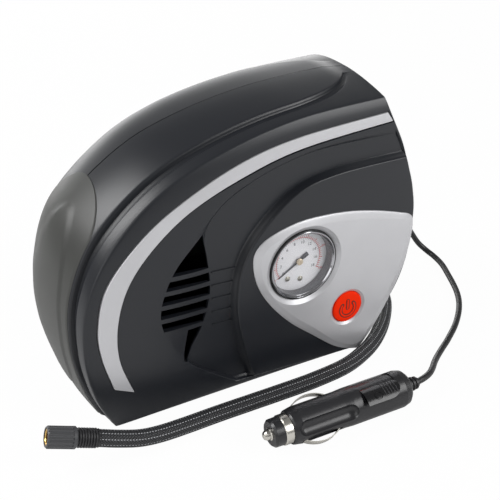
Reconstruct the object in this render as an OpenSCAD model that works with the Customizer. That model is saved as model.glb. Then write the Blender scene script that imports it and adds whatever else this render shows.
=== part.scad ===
// Portable 12 V tyre inflator. Millimetres. The case splits on a plane across Y; the face looks along -Y.

/* [Case] */
// Length of the face, from the nose to the end wall
case_l = 240; // [220:2:260]
// Height of the face above the ground
case_h = 186; // [170:2:200]
// Depth of the front shell at its rim, from the parting line
front_d = 50; // [46:1:56]
// Depth of the rear shell
rear_d = 50; // [44:1:56]
// Wall thickness of both shells
wall = 2.5; // [2:0.1:3]
// How far the gauge pod stands out in front of the rim
pod_out = 8; // [6:0.5:11]
// Height of the raised spine on the rim
spine_h = 1.6; // [1:0.1:2.5]
// Half of the spine's width
spine_half = 37; // [32:1:40]
// Thickness of the nose cover
cover_t = 1; // [0.8:0.1:1.6]

/* [Front trim] */
// Thickness of the control panel
panel_t = 2.5; // [2:0.1:3.5]
// Width of the panel's bevelled border
panel_bevel = 4.5; // [3:0.5:6]
// How far the trim strip stands proud of the face
strip_proud = 0.6; // [0.3:0.1:1.2]
// Thickness of the trim strip
strip_t = 2.2; // [1.6:0.1:2.6]
// Thickness of one vent slat
slat_t = 3.1; // [2:0.1:3.6]
// Pitch of the vent slats
slat_pitch = 9.7; // [8.5:0.1:11]

/* [Gauge] */
// Outside diameter of the gauge's rim
gauge_d = 50; // [44:1:52]
// Depth of the dial behind the panel's face
dial_depth = 8; // [6:0.5:10]
// Depth of the gauge's case
gauge_deep = 24; // [22:1:28]

/* [Power button] */
// Diameter of the power button
button_d = 23.4; // [20:0.2:26]
// Travel of the power button
button_travel = 2.5; // [1.5:0.1:3]

/* [Pump] */
// Diameter of the motor's can
motor_d = 37; // [34:0.5:38]
// Length of the motor's can
motor_l = 58; // [50:1:62]
// Diameter of the motor's shaft
shaft_d = 3.2; // [3:0.1:4]
// Teeth of the pinion
pinion_z = 12; // [11:1:13]
// Teeth of the drive gear
gear_z = 50; // [48:1:51]
// Size of a gear tooth (pitch diameter over teeth)
gear_m = 1; // [0.95:0.01:1.02]
// Half of the piston's stroke
crank_r = 8; // [6:0.5:9]
// Bore of the cylinder
bore_d = 24; // [20:0.5:25]
// Length of the connecting rod, from the crank pin to the crown
rod_l = 70; // [66:1:72]
// Diameter of the cooling fan
fan_d = 54; // [46:1:58]

/* [Leads] */
// Diameter of the braided air hose
hose_d = 11; // [10:0.5:12]
// Diameter of the power cord
cord_d = 4.4; // [4:0.2:5]
// Diameter of the ring at the plug's front
plug_d = 19.6; // [18.5:0.1:21]
// Diameter of the plug's sleeve, between the ring and the grip
sleeve_d = 24.2; // [23.5:0.1:24.8]
// Diameter of the plug's grip
grip_d = 25; // [24:0.5:27]
// Diameter of the valve connector
chuck_d = 14; // [13.5:0.5:16]

/* [Hidden] */

fit_gap = 0.3;            // gap between trim and the seat that holds it
run_gap = 0.05;           // radial gap of a shaft in its bush
nominal_l = 240;
nominal_h = 186;
kx = case_l / nominal_l;
kz = case_h / nominal_h;
left_steps = 5;           // loft points between two outline points, nose side
right_steps = 3;          // the same on the end wall
base_steps = 8;           // loft points along the base

// Outline points as [x, z] at the nominal size: nose side first, from the base up and over to the top
// corner.
RIM_NOSE = [[-99.5, 0], [-111, 26], [-116, 60], [-111.5, 95], [-93, 128], [-61, 156], [-18, 174],
    [35, 184.5],
    [98.5, 186]];
RIM_END = [[98.5, 186], [110, 160], [120.6, 128], [124.8, 98], [121.3, 64], [109.2, 36], [82, 0]];
SEAM_NOSE = [[-104, 0], [-113.5, 26], [-121, 60], [-120, 95], [-105, 133.5], [-66, 165.2], [-23.6, 181],
    [32, 189.8], [101, 191.2]];
SEAM_END = [[101, 191.2], [113.5, 164], [122.6, 130], [126, 98], [122, 64], [110, 36], [82, 0]];
BACK_NOSE = [[-78, 2], [-86.5, 28], [-91.5, 56], [-85, 87], [-65, 113], [-38, 136], [-6, 152.5], [38, 162.5],
    [90, 166]];
BACK_END = [[90, 166], [97, 142], [102, 118], [104, 95], [100, 68], [90, 42], [62, 2]];
// Crest of the face round the bowl, floor of the bowl, and edge of the pod that stands up inside it.
BOWL_NOSE = [[-14, 7], [-46, 33], [-63, 58], [-66, 80], [-54, 108], [-31, 130], [-2, 147], [40, 159.5],
    [104, 165]];
BOWL_END = [[104, 165], [112.8, 152], [120.6, 126], [124.6, 98], [121.1, 64], [109, 36], [81.8, 0.8]];
FLOOR_NOSE = [[-4, 7.5], [-8.5, 22], [-15, 50], [-16.2, 76], [-11, 98], [3, 119.5], [28, 138.5], [60, 146],
    [113.5, 146.6]];
FLOOR_END = [[113.5, 146.6], [116.6, 138.6], [122, 121], [124.5, 98], [121, 64], [108.9, 36], [81.7, 1.6]];
POD_NOSE = [[-0.7, 8], [-5.2, 21], [-12.1, 51], [-13.3, 75], [-8.8, 97.5], [4.4, 117.2], [30, 137.5],
    [60, 143.9], [114.6, 143.6]];
POD_END = [[114.6, 143.6], [117.4, 135], [121.9, 119], [124.4, 98], [120.9, 64], [108.8, 36], [81.5, 2.6]];
centre = [20 * kx, 85 * kz];

function fit(p) = [for (q = p) [q[0] * kx, q[1] * kz]];
function curve(a, b, c, d, t) = ((2 * b) + (c - a) * t + (2 * a - 5 * b + 4 * c - d) * t * t
    + (3 * b - a - 3 * c + d) * t * t * t) / 2;
function spline(p, n) = [for (i = [0 : len(p) - 2], k = [0 : n - 1])
    curve(p[max(i - 1, 0)], p[i], p[i + 1], p[min(i + 2, len(p) - 1)], k / n)];
function base_line(a, b, n) = [for (k = [0 : n - 1]) a + (b - a) * k / n];
function outline(nose, end) = concat(spline(fit(nose), left_steps), spline(fit(end), right_steps),
    base_line(fit(end)[len(end) - 1], fit(nose)[0], base_steps));
function drawn_in(ring, d) = [for (q = ring) q + (centre - q) * d / norm(centre - q)];

RIM = outline(RIM_NOSE, RIM_END);
SEAM = outline(SEAM_NOSE, SEAM_END);
BACK = outline(BACK_NOSE, BACK_END);
BOWL = outline(BOWL_NOSE, BOWL_END);
FLOOR = outline(FLOOR_NOSE, FLOOR_END);
POD = outline(POD_NOSE, POD_END);
ring_n = len(RIM);
nose_n = (len(RIM_NOSE) - 1) * left_steps;
end_n = (len(RIM_END) - 1) * right_steps;

// How round the rear shoulder is at loft point i: soft at the nose, tighter along the top and the end.
function shoulder(i) = i < nose_n ? 1.7 + 1.3 * pow(min(i, 30) / 30, 2) : 3;
function rear_mix(i, t) = 1 - pow(max(0, 1 - pow(t, shoulder(i))), 1 / shoulder(i));
function front_mix(t) = 1 - pow(t, 1.7);
function rear_ring(t) = [for (i = [0 : ring_n - 1]) SEAM[i] + (BACK[i] - SEAM[i]) * rear_mix(i, t)];
function front_ring(t) = [for (i = [0 : ring_n - 1]) RIM[i] + (SEAM[i] - RIM[i]) * front_mix(t)];
function at(ring, y) = [for (q = ring) [q[0], y, q[1]]];
function grounded(ring) = [for (q = ring) [q[0], max(q[1], 0)]];

// Closed skin through a list of rings of equal length, with a fan at each end.
module loft(rings, n) {
    m = len(rings);
    first = rings[0];
    last = rings[m - 1];
    middle_a = [for (k = [0 : 2]) lowest_mean(first, k)];
    middle_b = [for (k = [0 : 2]) lowest_mean(last, k)];
    points = concat([for (r = rings, p = r) p], [middle_a, middle_b]);
    faces = concat(
        [for (j = [0 : m - 2], i = [0 : n - 1]) [j * n + i, j * n + (i + 1) % n, (j + 1) * n + i]],
        [for (j = [0 : m - 2], i = [0 : n - 1]) [j * n + (i + 1) % n, (j + 1) * n + (i + 1) % n,
            (j + 1) * n + i]],
        [for (i = [0 : n - 1]) [(i + 1) % n, i, m * n]],
        [for (i = [0 : n - 1]) [(m - 1) * n + i, (m - 1) * n + (i + 1) % n, m * n + 1]]);
    polyhedron(points, faces, convexity = 6);
}
function lowest_mean(ring, k) = total([for (p = ring) p[k]]) / len(ring);
function total(v, i = 0) = i >= len(v) ? 0 : v[i] + total(v, i + 1);

// Places for the pieces, with the parting plane at y = 0 and the ground at z = 0.
face_y = -(front_d + 5);                     // flat part of the face
floor_y = -(front_d + 2);                    // bottom of the bowl beside the pod
pod_y = -(front_d + pod_out);                // front of the pod
panel_y = pod_y - panel_t;                   // front of the control panel
button_proud = 0.2;                          // how far the button stands out of the panel
cx = -0.6;                                   // moves the case to the middle of its own box
cy = (button_proud - panel_y - rear_d) / 2;
function place(p) = [p[0] * kx, p[1] * kz];

PANEL = [[121.4, 98.8], [111.5, 103.3], [90.3, 110.2], [70, 114.9], [50.4, 117.2], [31.4, 117.4],
    [12.9, 113.5],
    [2, 107.6], [-2.5, 98], [0.3, 80.4], [9.8, 62.1], [25.6, 43.1], [44.1, 26.6], [63.4, 10.4], [78.7, 3.2],
    [86.2, 4.6], [101, 24.6], [115.6, 52.6], [122, 74.9], [123.8, 91]];
VENT = [[-35.6, 125], [-53.4, 107.5], [-63, 90], [-66.3, 74], [-63, 58.5], [-57.5, 46.5], [-49.9, 35.6],
    [-44, 45.5], [-36, 59.5], [-30.8, 79], [-30.4, 92], [-32.6, 111]];
// Solid corner below the lowest slat; only a wedge beside it is open.
VENT_CORNER = [[-80, 66], [-47, 60], [-51.5, 38], [-52, 20], [-80, 20]];
STRIP_OUT = [[-99.6, 31], [-106, 56], [-107, 78], [-100, 104], [-80.5, 127], [-54, 146], [-12, 164.5],
    [32, 173.5], [100, 176.5]];
STRIP_IN = [[-86.5, 25], [-94.5, 52], [-94, 78], [-85.5, 103], [-68, 124], [-42, 142.5], [-5, 156.5],
    [36, 165.5], [104, 169.5]];
PANEL_EDGE = ring_spline(fit(PANEL), 3);
slat_left = place([-60, 63]);                // top edge of the lowest slat, at the nose side
slat_tilt = -5.6;                            // the slats fall towards the pod
rib_left = place([-29, 56]);                 // start of the lowest rib beside the vent
rib_l = 16 * kx;
slat_n = 5;
gauge_c = place([35, 85]);
button_c = place([71.3, 41.3]);

function ring_spline(p, n) = [for (i = [0 : len(p) - 1], k = [0 : n - 1])
    curve(p[(i + len(p) - 1) % len(p)], p[i], p[(i + 1) % len(p)], p[(i + 2) % len(p)], k / n)];
function step_dir(p, i) = let (v = p[(i + 1) % len(p)] - p[(i + len(p) - 1) % len(p)]) v / norm(v);
function grown(p, d) = [for (i = [0 : len(p) - 1]) p[i] + d * [-step_dir(p, i)[1], step_dir(p, i)[0]]];

// Flat outline in the x-z plane, pushed out from y = a to y = b, with b in front of a.
module slab(a, b) translate([0, a, 0]) rotate([90, 0, 0]) linear_extrude(a - b) children();
// Round bar along Y between y = a and y = b, centred on [x, z] = c.
module bar_y(c, r, a, b, n = 48) translate([c[0], b, c[1]]) rotate([-90, 0, 0])
    cylinder(r = r, h = a - b, $fn = n);
// Round bar along X from x = a to x = b, centred on y, z.
module bar_x(a, b, y, z, r, n = 48) translate([a, y, z]) rotate([0, 90, 0])
    cylinder(r = r, h = b - a, $fn = n);

// ---- case ----
screw_d = 3.5;
boss_r = 4;
// Case screws as [x, z, how far the front boss reaches short of the pod's face].
SCREWS = [[-76, 46, 5], [-50, 114, 5], [24, 148, 6], [-50, 18, 5.5], [88, 118, 1], [60, 16, 1]];
seat_y = 14;
module front_bosses() for (s = SCREWS) bar_y(place(s), boss_r, 0, pod_y + s[2], 24);
module rear_bosses() for (s = SCREWS) bar_y(place(s), boss_r, rear_d - 1, 0, 24);
module boss_holes(r, a, b) for (s = SCREWS) bar_y(place(s), r, a, b, 24);

hose_exit = [106 * kx, 34, 18 * kz];
cord_exit = [122 * kx, 28, 60 * kz];
gland_r = 9;
cord_gland_r = 6.5;
module lead_collars() {
    bar_x(hose_exit[0] - 22, hose_exit[0], hose_exit[1], hose_exit[2], gland_r + wall);
    bar_x(cord_exit[0] - 10, cord_exit[0], cord_exit[1], cord_exit[2], cord_gland_r + wall);
}
module lead_holes() {
    bar_x(hose_exit[0] - 24, hose_exit[0] + 1, hose_exit[1], hose_exit[2], gland_r);
    bar_x(cord_exit[0] - 20, cord_exit[0] + 1, cord_exit[1], cord_exit[2], cord_gland_r);
}

// The raised band on the rim runs from the base to loft point spine_b, where its end is rounded off.
spine_b = nose_n - 1;
function spine_w(i) = spine_half * (i < spine_b - 4 ? 1 : sqrt(1 - pow(min(i - spine_b + 4, 4) / 4.6, 2)));
function spine_lift(i) = i > 0 && i <= spine_b ? spine_h : 0;
function on_side(side, i, y) = side < 0
    ? RIM[i] + (SEAM[i] - RIM[i]) * front_mix(y / front_d)
    : SEAM[i] + (BACK[i] - SEAM[i]) * rear_mix(i, y / rear_d);
function lifted(side, i, y, h) = let (q = on_side(side, i, y), d = step_dir(SEAM, i))
    [q[0] - d[1] * h, side * y, max(q[1] + d[0] * h, 0)];
// Ring of the outer skin: s runs from 0 at the seam to 1 at the spine's edge, over the band beside the spine
// to 1.5, and on to 2 at the rim or back.
rear_share = 0.8;         // width of the spine behind the seam, against its width in front
band_w = 8;               // band beside the spine that holds the groove
groove_deep = 1.1;        // depth of the groove along the front of the spine
function skin_y(side, i, s) = let (
        w = spine_w(i) * (side < 0 ? 1 : rear_share),
        d = side < 0 ? front_d : rear_d)
    s <= 1 ? w * s : s <= 1.5 ? w + 2 * band_w * (s - 1) : w + band_w + (d - w - band_w) * (s - 1.5) * 2;
function skin_lift(side, i, s) = spine_lift(i) == 0 ? 0 : s <= 1 ? spine_h : side < 0 && s < 1.35
    ? -groove_deep : 0;
function skin_ring(side, s) = [for (i = [0 : ring_n - 1]) lifted(side, i, skin_y(side, i, s),
    skin_lift(side, i, s))];
function between(a, b, f) = [for (i = [0 : ring_n - 1]) a[i] + (b[i] - a[i]) * f];

// Depth of the bowl's floor at loft point i: deepest at the nose, level with the face at the end wall,
// and part of the sloping underside along the base.
function floor_depth(i) = i < nose_n - 5 ? floor_y
    : i < nose_n + end_n ? floor_y + (face_y - floor_y) * min((i - nose_n + 5) / 10, 1) : face_y - 1.5;
module front_skin() {
    outer = concat([for (s = [0, 0.2, 0.4, 0.6, 0.8, 1, 1.03, 1.3, 1.42, 1.75]) skin_ring(-1, s)],
        [at(RIM, -front_d), at(between(RIM, BOWL, 0.04), -front_d - 0.8),
            at(between(RIM, BOWL, 0.25), face_y + 2.5),
        at(between(RIM, BOWL, 0.6), face_y + 0.8), at(BOWL, face_y),
        [for (i = [0 : ring_n - 1]) [FLOOR[i][0], floor_depth(i), FLOOR[i][1]]],
        at(POD, pod_y + 1.2), at(drawn_in(POD, 0.3), pod_y + 0.4), at(drawn_in(POD, 1), pod_y)]);
    inner = [at(drawn_in(FLOOR, wall + 3), floor_y + wall),
        at(drawn_in(BOWL, wall + 1.5), face_y + wall + 1.5),
        at(drawn_in(RIM, wall + 1.5), -front_d + 1), at(drawn_in(grounded(front_ring(0.5)), wall + 0.6),
            -front_d / 2),
        at(drawn_in(SEAM, wall), 0)];
    loft(concat(inner, outer), ring_n);
}
module rear_skin() {
    outer = [for (s = [2, 1.976, 1.927, 1.8, 1.63, 1.4, 1.03, 1, 0.8, 0.6, 0.4, 0.2, 0]) skin_ring(1, s)];
    inner = [for (t = [0, 0.35, 0.6, 0.8, 0.92]) at(drawn_in(grounded(rear_ring(t)), wall),
        t * (rear_d - wall))];
    loft(concat(outer, inner, [at(drawn_in(rear_ring(0.985), wall + 3), rear_d - wall)]), ring_n);
}

module strip_band(gap, top, bottom) {
    n = 5;
    outer = concat(spline(fit(STRIP_OUT), n), [fit(STRIP_OUT)[8]]);
    inner = concat(spline(fit(STRIP_IN), n), [fit(STRIP_IN)[8]]);
    count = len(outer);
    rings = [for (i = [0 : count - 1]) let (
            across = (inner[i] - outer[i]) / norm(inner[i] - outer[i]),
            run = (i == 0 ? -1 : i == count - 1 ? 1 : 0) * gap,
            ahead = outer[min(i + 1, count - 1)] - outer[max(i - 1, 0)],
            o = outer[i] - across * gap + ahead / norm(ahead) * run,
            q = inner[i] + across * gap + ahead / norm(ahead) * run,
            yo = face_y + 2.4,
            yi = face_y + 1)
        [[o[0], yo - top, o[1]], [o[0], yo + bottom, o[1]], [q[0], yi + bottom, q[1]],
            [q[0], yi - top, q[1]]]];
    loft(rings, 4);
}

module vent_cut() {
    slab(-front_d + 6, face_y - 3) difference() {
        polygon(ring_spline(fit(VENT), 3));
        polygon(fit(VENT_CORNER));
        for (k = [0 : slat_n - 1]) translate(slat_left + [0, k * slat_pitch]) rotate(slat_tilt)
            translate([-20 * kx, -slat_t]) square([60 * kx, slat_t]);
    }
}
module vent_ribs() for (k = [0 : slat_n - 1])
    translate([rib_left[0], floor_y - 2, rib_left[1] + k * slat_pitch]) rotate([0, -slat_tilt / 1.4, 0])
        cube([rib_l, 3, 0.8]);

module front_shell() color("#3a3c42") difference() {
    union() {
        difference() {
            front_skin();
            slab(floor_y + wall + 4, pod_y + wall) polygon(drawn_in(POD, wall));
        }
        front_bosses();
        vent_ribs();
    }
    vent_cut();
    strip_band(fit_gap, 3, strip_t);
    bar_y(gauge_c, gauge_d / 2 + 0.6, -20, pod_y - 5);
    bar_y(button_c, button_d / 2 + fit_gap, -20, pod_y - 5);
    boss_holes(1.4, 1, floor_y + 8);
}

module rear_vents() for (k = [0 : 5], side = [0, 1])
    translate([(-58 + 24 * side) * kx, rear_d - 12, (62 + 8 * k) * kz]) cube([18 * kx, 20, 3]);
module rear_shell() color("#35373c") difference() {
    union() {
        rear_skin();
        rear_bosses();
        frame_bosses();
        lead_collars();
    }
    boss_holes(screw_d / 2 + 0.1, rear_d + 5, -1);
    boss_holes(3.2, rear_d + 5, seat_y);
    frame_holes();
    rear_vents();
    lead_holes();
}
module case_screws() color("silver") for (s = SCREWS) translate([place(s)[0], seat_y, place(s)[1]])
    rotate([90, 0, 0]) {
        cylinder(r = 1.3, h = 34, $fn = 16);
        difference() {
            translate([0, 0, -2.4]) cylinder(r = 3, h = 2.4, $fn = 24);
            translate([-0.4, -2, -3]) cube([0.8, 4, 1.4]);
            translate([-2, -0.4, -3]) cube([4, 0.8, 1.4]);
        }
    }

cover_gap = 0.35;         // the cover is clipped over the spine with this clearance
cover_edge = 1.2;         // its edge stays this far inside the spine's
cover_bend = 19.4;        // loft point where its sides start to close
cover_end = 22.8;         // loft point of its rounded top end
COVER_AT = concat([for (i = [1 : 19]) i],
    [for (k = [1 : 7]) cover_bend + (cover_end - cover_bend) * sin(12.8 * k)]);
function cover_half(i) = (spine_half - cover_edge)
    * (i < cover_bend ? 1 : sqrt(max(0.02, 1 - pow((i - cover_bend) / (cover_end - cover_bend), 2))));
function lifted_at(side, i, y, h) = let (a = floor(i))
    lifted(side, a, y, h) * (a + 1 - i) + lifted(side, a + 1, y, h) * (i - a);
module nose_cover() color("#6c6c66") {
    top = spine_h + cover_gap + cover_t;
    rings = [for (i = COVER_AT) let (w = cover_half(i), low = spine_h + cover_gap) concat(
        [for (k = [5 : -1 : 1]) lifted_at(1, i, w * rear_share * k / 5, top)],
        [for (k = [0 : 5]) lifted_at(-1, i, w * k / 5, top)],
        [for (k = [5 : -1 : 0]) lifted_at(-1, i, w * k / 5, low)],
        [for (k = [1 : 5]) lifted_at(1, i, w * rear_share * k / 5, low)])];
    loft(rings, 22);
}

module trim_strip() color("#c9c9d0") strip_band(0, strip_proud, strip_t - 0.2);

module control_panel() color("#b8b8bf") difference() {
    edge = PANEL_EDGE;
    loft([at(drawn_to(edge, place([60, 65]), panel_bevel), panel_y), at(edge, pod_y - 0.7),
        at(edge, pod_y)], len(edge));
    bar_y(gauge_c, gauge_d / 2 + fit_gap, 0, panel_y - 5, 64);
    translate([gauge_c[0], panel_y + 2, gauge_c[1]]) rotate([90, 0, 0])
        cylinder(r1 = gauge_d / 2 - 0.5, r2 = gauge_d / 2 + 3.5, h = 2.4, $fn = 64);
    bar_y(button_c, button_d / 2 + fit_gap, 0, panel_y - 5, 64);
    translate([button_c[0], panel_y + 1, button_c[1]]) rotate([90, 0, 0])
        cylinder(r1 = button_d / 2 - 0.3, r2 = button_d / 2 + 2.4, h = 1.4, $fn = 64);
}
function drawn_to(ring, c, d) = [for (q = ring) q + (c - q) * d / norm(c - q)];

// ---- gauge ----
gauge_r = gauge_d / 2;
dial_y = panel_y + dial_depth;
stem_end = pod_y + gauge_deep + 8;
post_z = dial_y + 0.9 - pod_y;
module turned(c, y) translate([c[0], y, c[1]]) rotate([-90, 0, 0]) children();
module gauge_case() color("#26262a") turned(gauge_c, pod_y) union() {
    rotate_extrude($fn = 72) polygon([[0, gauge_deep - 2], [gauge_r - 2.6, gauge_deep - 2],
        [gauge_r - 2.6, 0],
        [gauge_r - 1, 0], [gauge_r - 1, gauge_deep - 2], [gauge_r - 3, gauge_deep], [0, gauge_deep]]);
    translate([0, 0, post_z]) cylinder(r = 2, h = gauge_deep - post_z, $fn = 24);
    translate([0, 0, gauge_deep]) cylinder(r = 6, h = 4, $fn = 6);
    translate([0, 0, gauge_deep + 4]) cylinder(r = 2.2, h = 4, $fn = 24);
}
module gauge_rim() color("#1c1c1e") turned(gauge_c, panel_y + 0.4) rotate_extrude($fn = 72)
    polygon([[gauge_r - 2.5, 0.6], [gauge_r - 1.6, 0], [gauge_r, 0.9], [gauge_r, panel_t - 0.4],
        [gauge_r - 2.5, panel_t - 0.4]]);
module gauge_lens() color("lightcyan", 0.3) turned(gauge_c, panel_y + 1.2)
    cylinder(r = gauge_r - 2.55, h = 1.3, $fn = 72);
module gauge_dial() color("#e8e8ec") turned(gauge_c, dial_y) difference() {
    cylinder(r = gauge_r - 2.7, h = 0.8, $fn = 72);
    translate([0, 0, -1]) cylinder(r = 2.2, h = 3, $fn = 24);
}
needle_at_rest = 211;
module gauge_needle() color("#404044") turned(gauge_c, dial_y - 1.4) rotate([0, 0, -needle_at_rest]) {
    cylinder(r = 2, h = 0.9, $fn = 24);
    translate([0, 0, 0.3]) linear_extrude(0.4) union() {
        polygon([[0, 0.7], [gauge_r - 7, 0.25], [gauge_r - 7, -0.25], [0, -0.7]]);
        polygon([[0, 0.8], [-5, 1.5], [-8, 1.5], [-8, -1.5], [-5, -1.5], [0, -0.8]]);
    }
    translate([0, 0, 0.9]) cylinder(r = 1, h = 1.2, $fn = 16);
}

// ---- power button ----
switch_y = pod_y + 9;
module power_button() color("#e83208") turned(button_c, panel_y - button_proud + 0.5) {
    r = button_d / 2;
    difference() {
        rotate_extrude($fn = 64) polygon([[0, 0], [r - 1.6, 0], [r - 0.5, 0.4], [r, 1.4], [r, 5], [0, 5]]);
        translate([0, 0, -1]) rotate_extrude($fn = 48) translate([5.4, 0]) square([0.7, 1.4]);
    }
    translate([0, 0, 5]) cylinder(r = stem_r, h = switch_y - panel_y - 0.3 - 5 + 0.8, $fn = 24);
    translate([-0.9, -7.2, -0.5]) cube([1.8, 6, 0.7]);
    rotate([0, 0, 130]) translate([0, 0, -0.5]) rotate_extrude(angle = 280, $fn = 48) translate([3.9, 0])
        square([1.2, 0.7]);
}
stem_r = 3;
cup_in = button_d / 2 + 0.4;
cup_h = switch_y - pod_y - wall;
module switch_body() color("#202022") turned(button_c, switch_y) difference() {
    union() {
        translate([0, 0, -cup_h]) cylinder(r = cup_in + 1.8, h = cup_h + 2, $fn = 48);
        translate([-9, -7, 2]) cube([18, 14, 10]);
        translate([-6, -0.4, 12]) cube([4, 0.8, 6]);
        translate([2, -0.4, 12]) cube([4, 0.8, 6]);
    }
    translate([0, 0, -cup_h - 1]) cylinder(r = cup_in, h = cup_h + 1, $fn = 48);
    translate([0, 0, -1]) cylinder(r = stem_r + 0.3, h = 1 + button_travel + 1.6, $fn = 24);
}

// ---- pump ----
pump_y = 10;
gear_r = gear_z * gear_m / 2;
pinion_r = pinion_z * gear_m / 2;
shafts_apart = gear_r + pinion_r;
crank_z = 61;
motor_z = crank_z + shafts_apart;
plate_x = 32;
plate_t = 3;
motor_a = plate_x - motor_l;
gear_x = plate_x + plate_t + 3;
gear_w = 6;
pin_x = gear_x + gear_w;
pin_l = 6;
rod_x = pin_x + pin_l + fit_gap;
rod_w = 5;
bore_x = rod_x + rod_w / 2;
shelf_z = crank_z + crank_r + 34;
crown_z = crank_z + crank_r + rod_l;
cyl_top = crown_z + 1.5;
cyl_h = cyl_top - shelf_z - 3;
cyl_r = bore_d / 2 + 4;
bush_r = 4;
crank_shaft_r = 2.5;
tooth = 2.25 * gear_m;

module tooth_wheel(z, width) {
    r = z * gear_m / 2;
    half = 90 / z;
    linear_extrude(width) union() {
        circle(r = r - 1.25 * gear_m, $fn = 2 * z);
        for (k = [0 : z - 1]) rotate(k * 360 / z) polygon([
            [(r - 1.35 * gear_m) * cos(half * 1.05), -(r - 1.35 * gear_m) * sin(half * 1.05)],
            [r * cos(half * 0.8), -r * sin(half * 0.8)],
            [(r + 0.9 * gear_m) * cos(half * 0.34), -(r + 0.9 * gear_m) * sin(half * 0.34)],
            [(r + 0.9 * gear_m) * cos(half * 0.34), (r + 0.9 * gear_m) * sin(half * 0.34)],
            [r * cos(half * 0.8), r * sin(half * 0.8)],
            [(r - 1.35 * gear_m) * cos(half * 1.05), (r - 1.35 * gear_m) * sin(half * 1.05)]]);
    }
}
module pump_frame() color("#9a9aa0") difference() {
    union() {
        translate([plate_x, pump_y - 24, crank_z - 28]) cube([plate_t, 48, shelf_z - crank_z + 31]);
        translate([plate_x, pump_y - cyl_r - 3, shelf_z])
            cube([bore_x + cyl_r + 3 - plate_x, 2 * cyl_r + 6, 3]);
        for (z = FOOT_Z) translate([plate_x - 14, frame_back - foot_t, z - 6]) cube([15, foot_t, 12]);
    }
    bar_x(plate_x - 1, plate_x + plate_t + 1, pump_y, motor_z, 6);
    bar_x(plate_x - 1, plate_x + plate_t + 1, pump_y, crank_z, bush_r + fit_gap / 10);
    for (s = [-1, 1]) bar_x(plate_x - 1, plate_x + plate_t + 1, pump_y + s * 12.5, motor_z, 1.6, 24);
    translate([bore_x, pump_y, shelf_z - 1]) cylinder(r = bore_d / 2, h = 5, $fn = 48);
    for (q = HEAD_SCREWS) translate([bore_x + q[0], pump_y + q[1], shelf_z - 1])
        cylinder(r = 1.2, h = 5, $fn = 16);
    for (z = FOOT_Z) bar_y([foot_x, z], 1.5, frame_back + 1, frame_back - foot_t - 1, 24);
}
HEAD_SCREWS = [for (a = [-1, 1], b = [-1, 1]) [a * (cyl_r - 1.5), b * (cyl_r - 1.5)]];
// Two feet of the frame are screwed to bosses of the rear shell.
foot_t = 2;
foot_x = plate_x - 8;
FOOT_Z = [crank_z - 18, shelf_z - 6];
frame_back = pump_y + 24;
module frame_bosses() for (z = FOOT_Z) bar_y([foot_x, z], 4, rear_d - 1, frame_back, 24);
module frame_holes() for (z = FOOT_Z) bar_y([foot_x, z], 1.4, rear_d - 5, frame_back - 1, 24);
module frame_screws() color("silver") for (z = FOOT_Z) {
    bar_y([foot_x, z], 1.3, frame_back + 8, frame_back - foot_t - 0.5, 16);
    bar_y([foot_x, z], 2.8, frame_back - foot_t, frame_back - foot_t - 1.8, 24);
}
module motor_can() color("#b0b0b4") difference() {
    union() {
        bar_x(motor_a, plate_x - 2, pump_y, motor_z, motor_d / 2, 64);
        bar_x(plate_x - 2, plate_x, pump_y, motor_z, 5.8, 48);
    }
    bar_x(motor_a - 1, plate_x - 3.5, pump_y, motor_z, motor_d / 2 - 1.4, 64);
    bar_x(motor_a - 1, plate_x + 1, pump_y, motor_z, shaft_d / 2 + run_gap, 24);
    for (s = [-1, 1]) bar_x(plate_x - 4, plate_x + 1, pump_y + s * 12.5, motor_z, 1.3, 24);
}
module motor_end_cap() color("#1f1f22") difference() {
    union() {
        bar_x(motor_a, motor_a + 4, pump_y, motor_z, motor_d / 2 - 1.5, 64);
        bar_x(motor_a - 3, motor_a, pump_y, motor_z, 6, 48);
    }
    bar_x(motor_a - 4, motor_a + 5, pump_y, motor_z, shaft_d / 2 + run_gap, 24);
    for (s = [-1, 1]) translate([motor_a - 1, pump_y + s * 12 - 2.2, motor_z - 0.5]) cube([7, 4.4, 1]);
}
module motor_terminals() color("goldenrod") for (s = [-1, 1])
    translate([motor_a - 6, pump_y + s * 12 - 2, motor_z - 0.4]) cube([11, 4, 0.8]);
module motor_screws() color("silver") for (s = [-1, 1]) {
    bar_x(plate_x - 3, plate_x + plate_t, pump_y + s * 12.5, motor_z, 1.2, 16);
    bar_x(plate_x + plate_t, plate_x + plate_t + 1.6, pump_y + s * 12.5, motor_z, 2.6, 24);
}
fan_x = motor_a - 16;
module motor_shaft() color("silver") bar_x(fan_x, gear_x + gear_w + 1, pump_y, motor_z, shaft_d / 2, 32);
module pinion() color("goldenrod") translate([gear_x - 1, pump_y, motor_z]) rotate([0, 90, 0])
    rotate([0, 0, 180 / pinion_z])
    difference() {
        tooth_wheel(pinion_z, gear_w + 2);
        translate([0, 0, -1]) cylinder(r = shaft_d / 2, h = gear_w + 4, $fn = 32);
    }
module cooling_fan() color("#2c2c30") translate([fan_x + 1, pump_y, motor_z]) rotate([0, 90, 0])
    difference() {
    union() {
        cylinder(r = 7, h = 9, $fn = 48);
        for (k = [0 : 6]) rotate([0, 0, k * 360 / 7]) translate([5, -0.8, 4.5]) rotate([32, 0, 0])
            translate([0, 0, -3.6]) cube([fan_d / 2 - 5.5, 1.5, 7.2]);
    }
    translate([0, 0, -1]) cylinder(r = shaft_d / 2, h = 12, $fn = 32);
}
module crank_bush() color("goldenrod") difference() {
    union() {
        bar_x(plate_x - 1.5, plate_x + plate_t + 1.5, pump_y, crank_z, bush_r, 48);
        bar_x(plate_x + plate_t, plate_x + plate_t + 1.5, pump_y, crank_z, bush_r + 2, 48);
    }
    bar_x(plate_x - 3, plate_x + plate_t + 3, pump_y, crank_z, crank_shaft_r + run_gap, 48);
}
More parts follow.
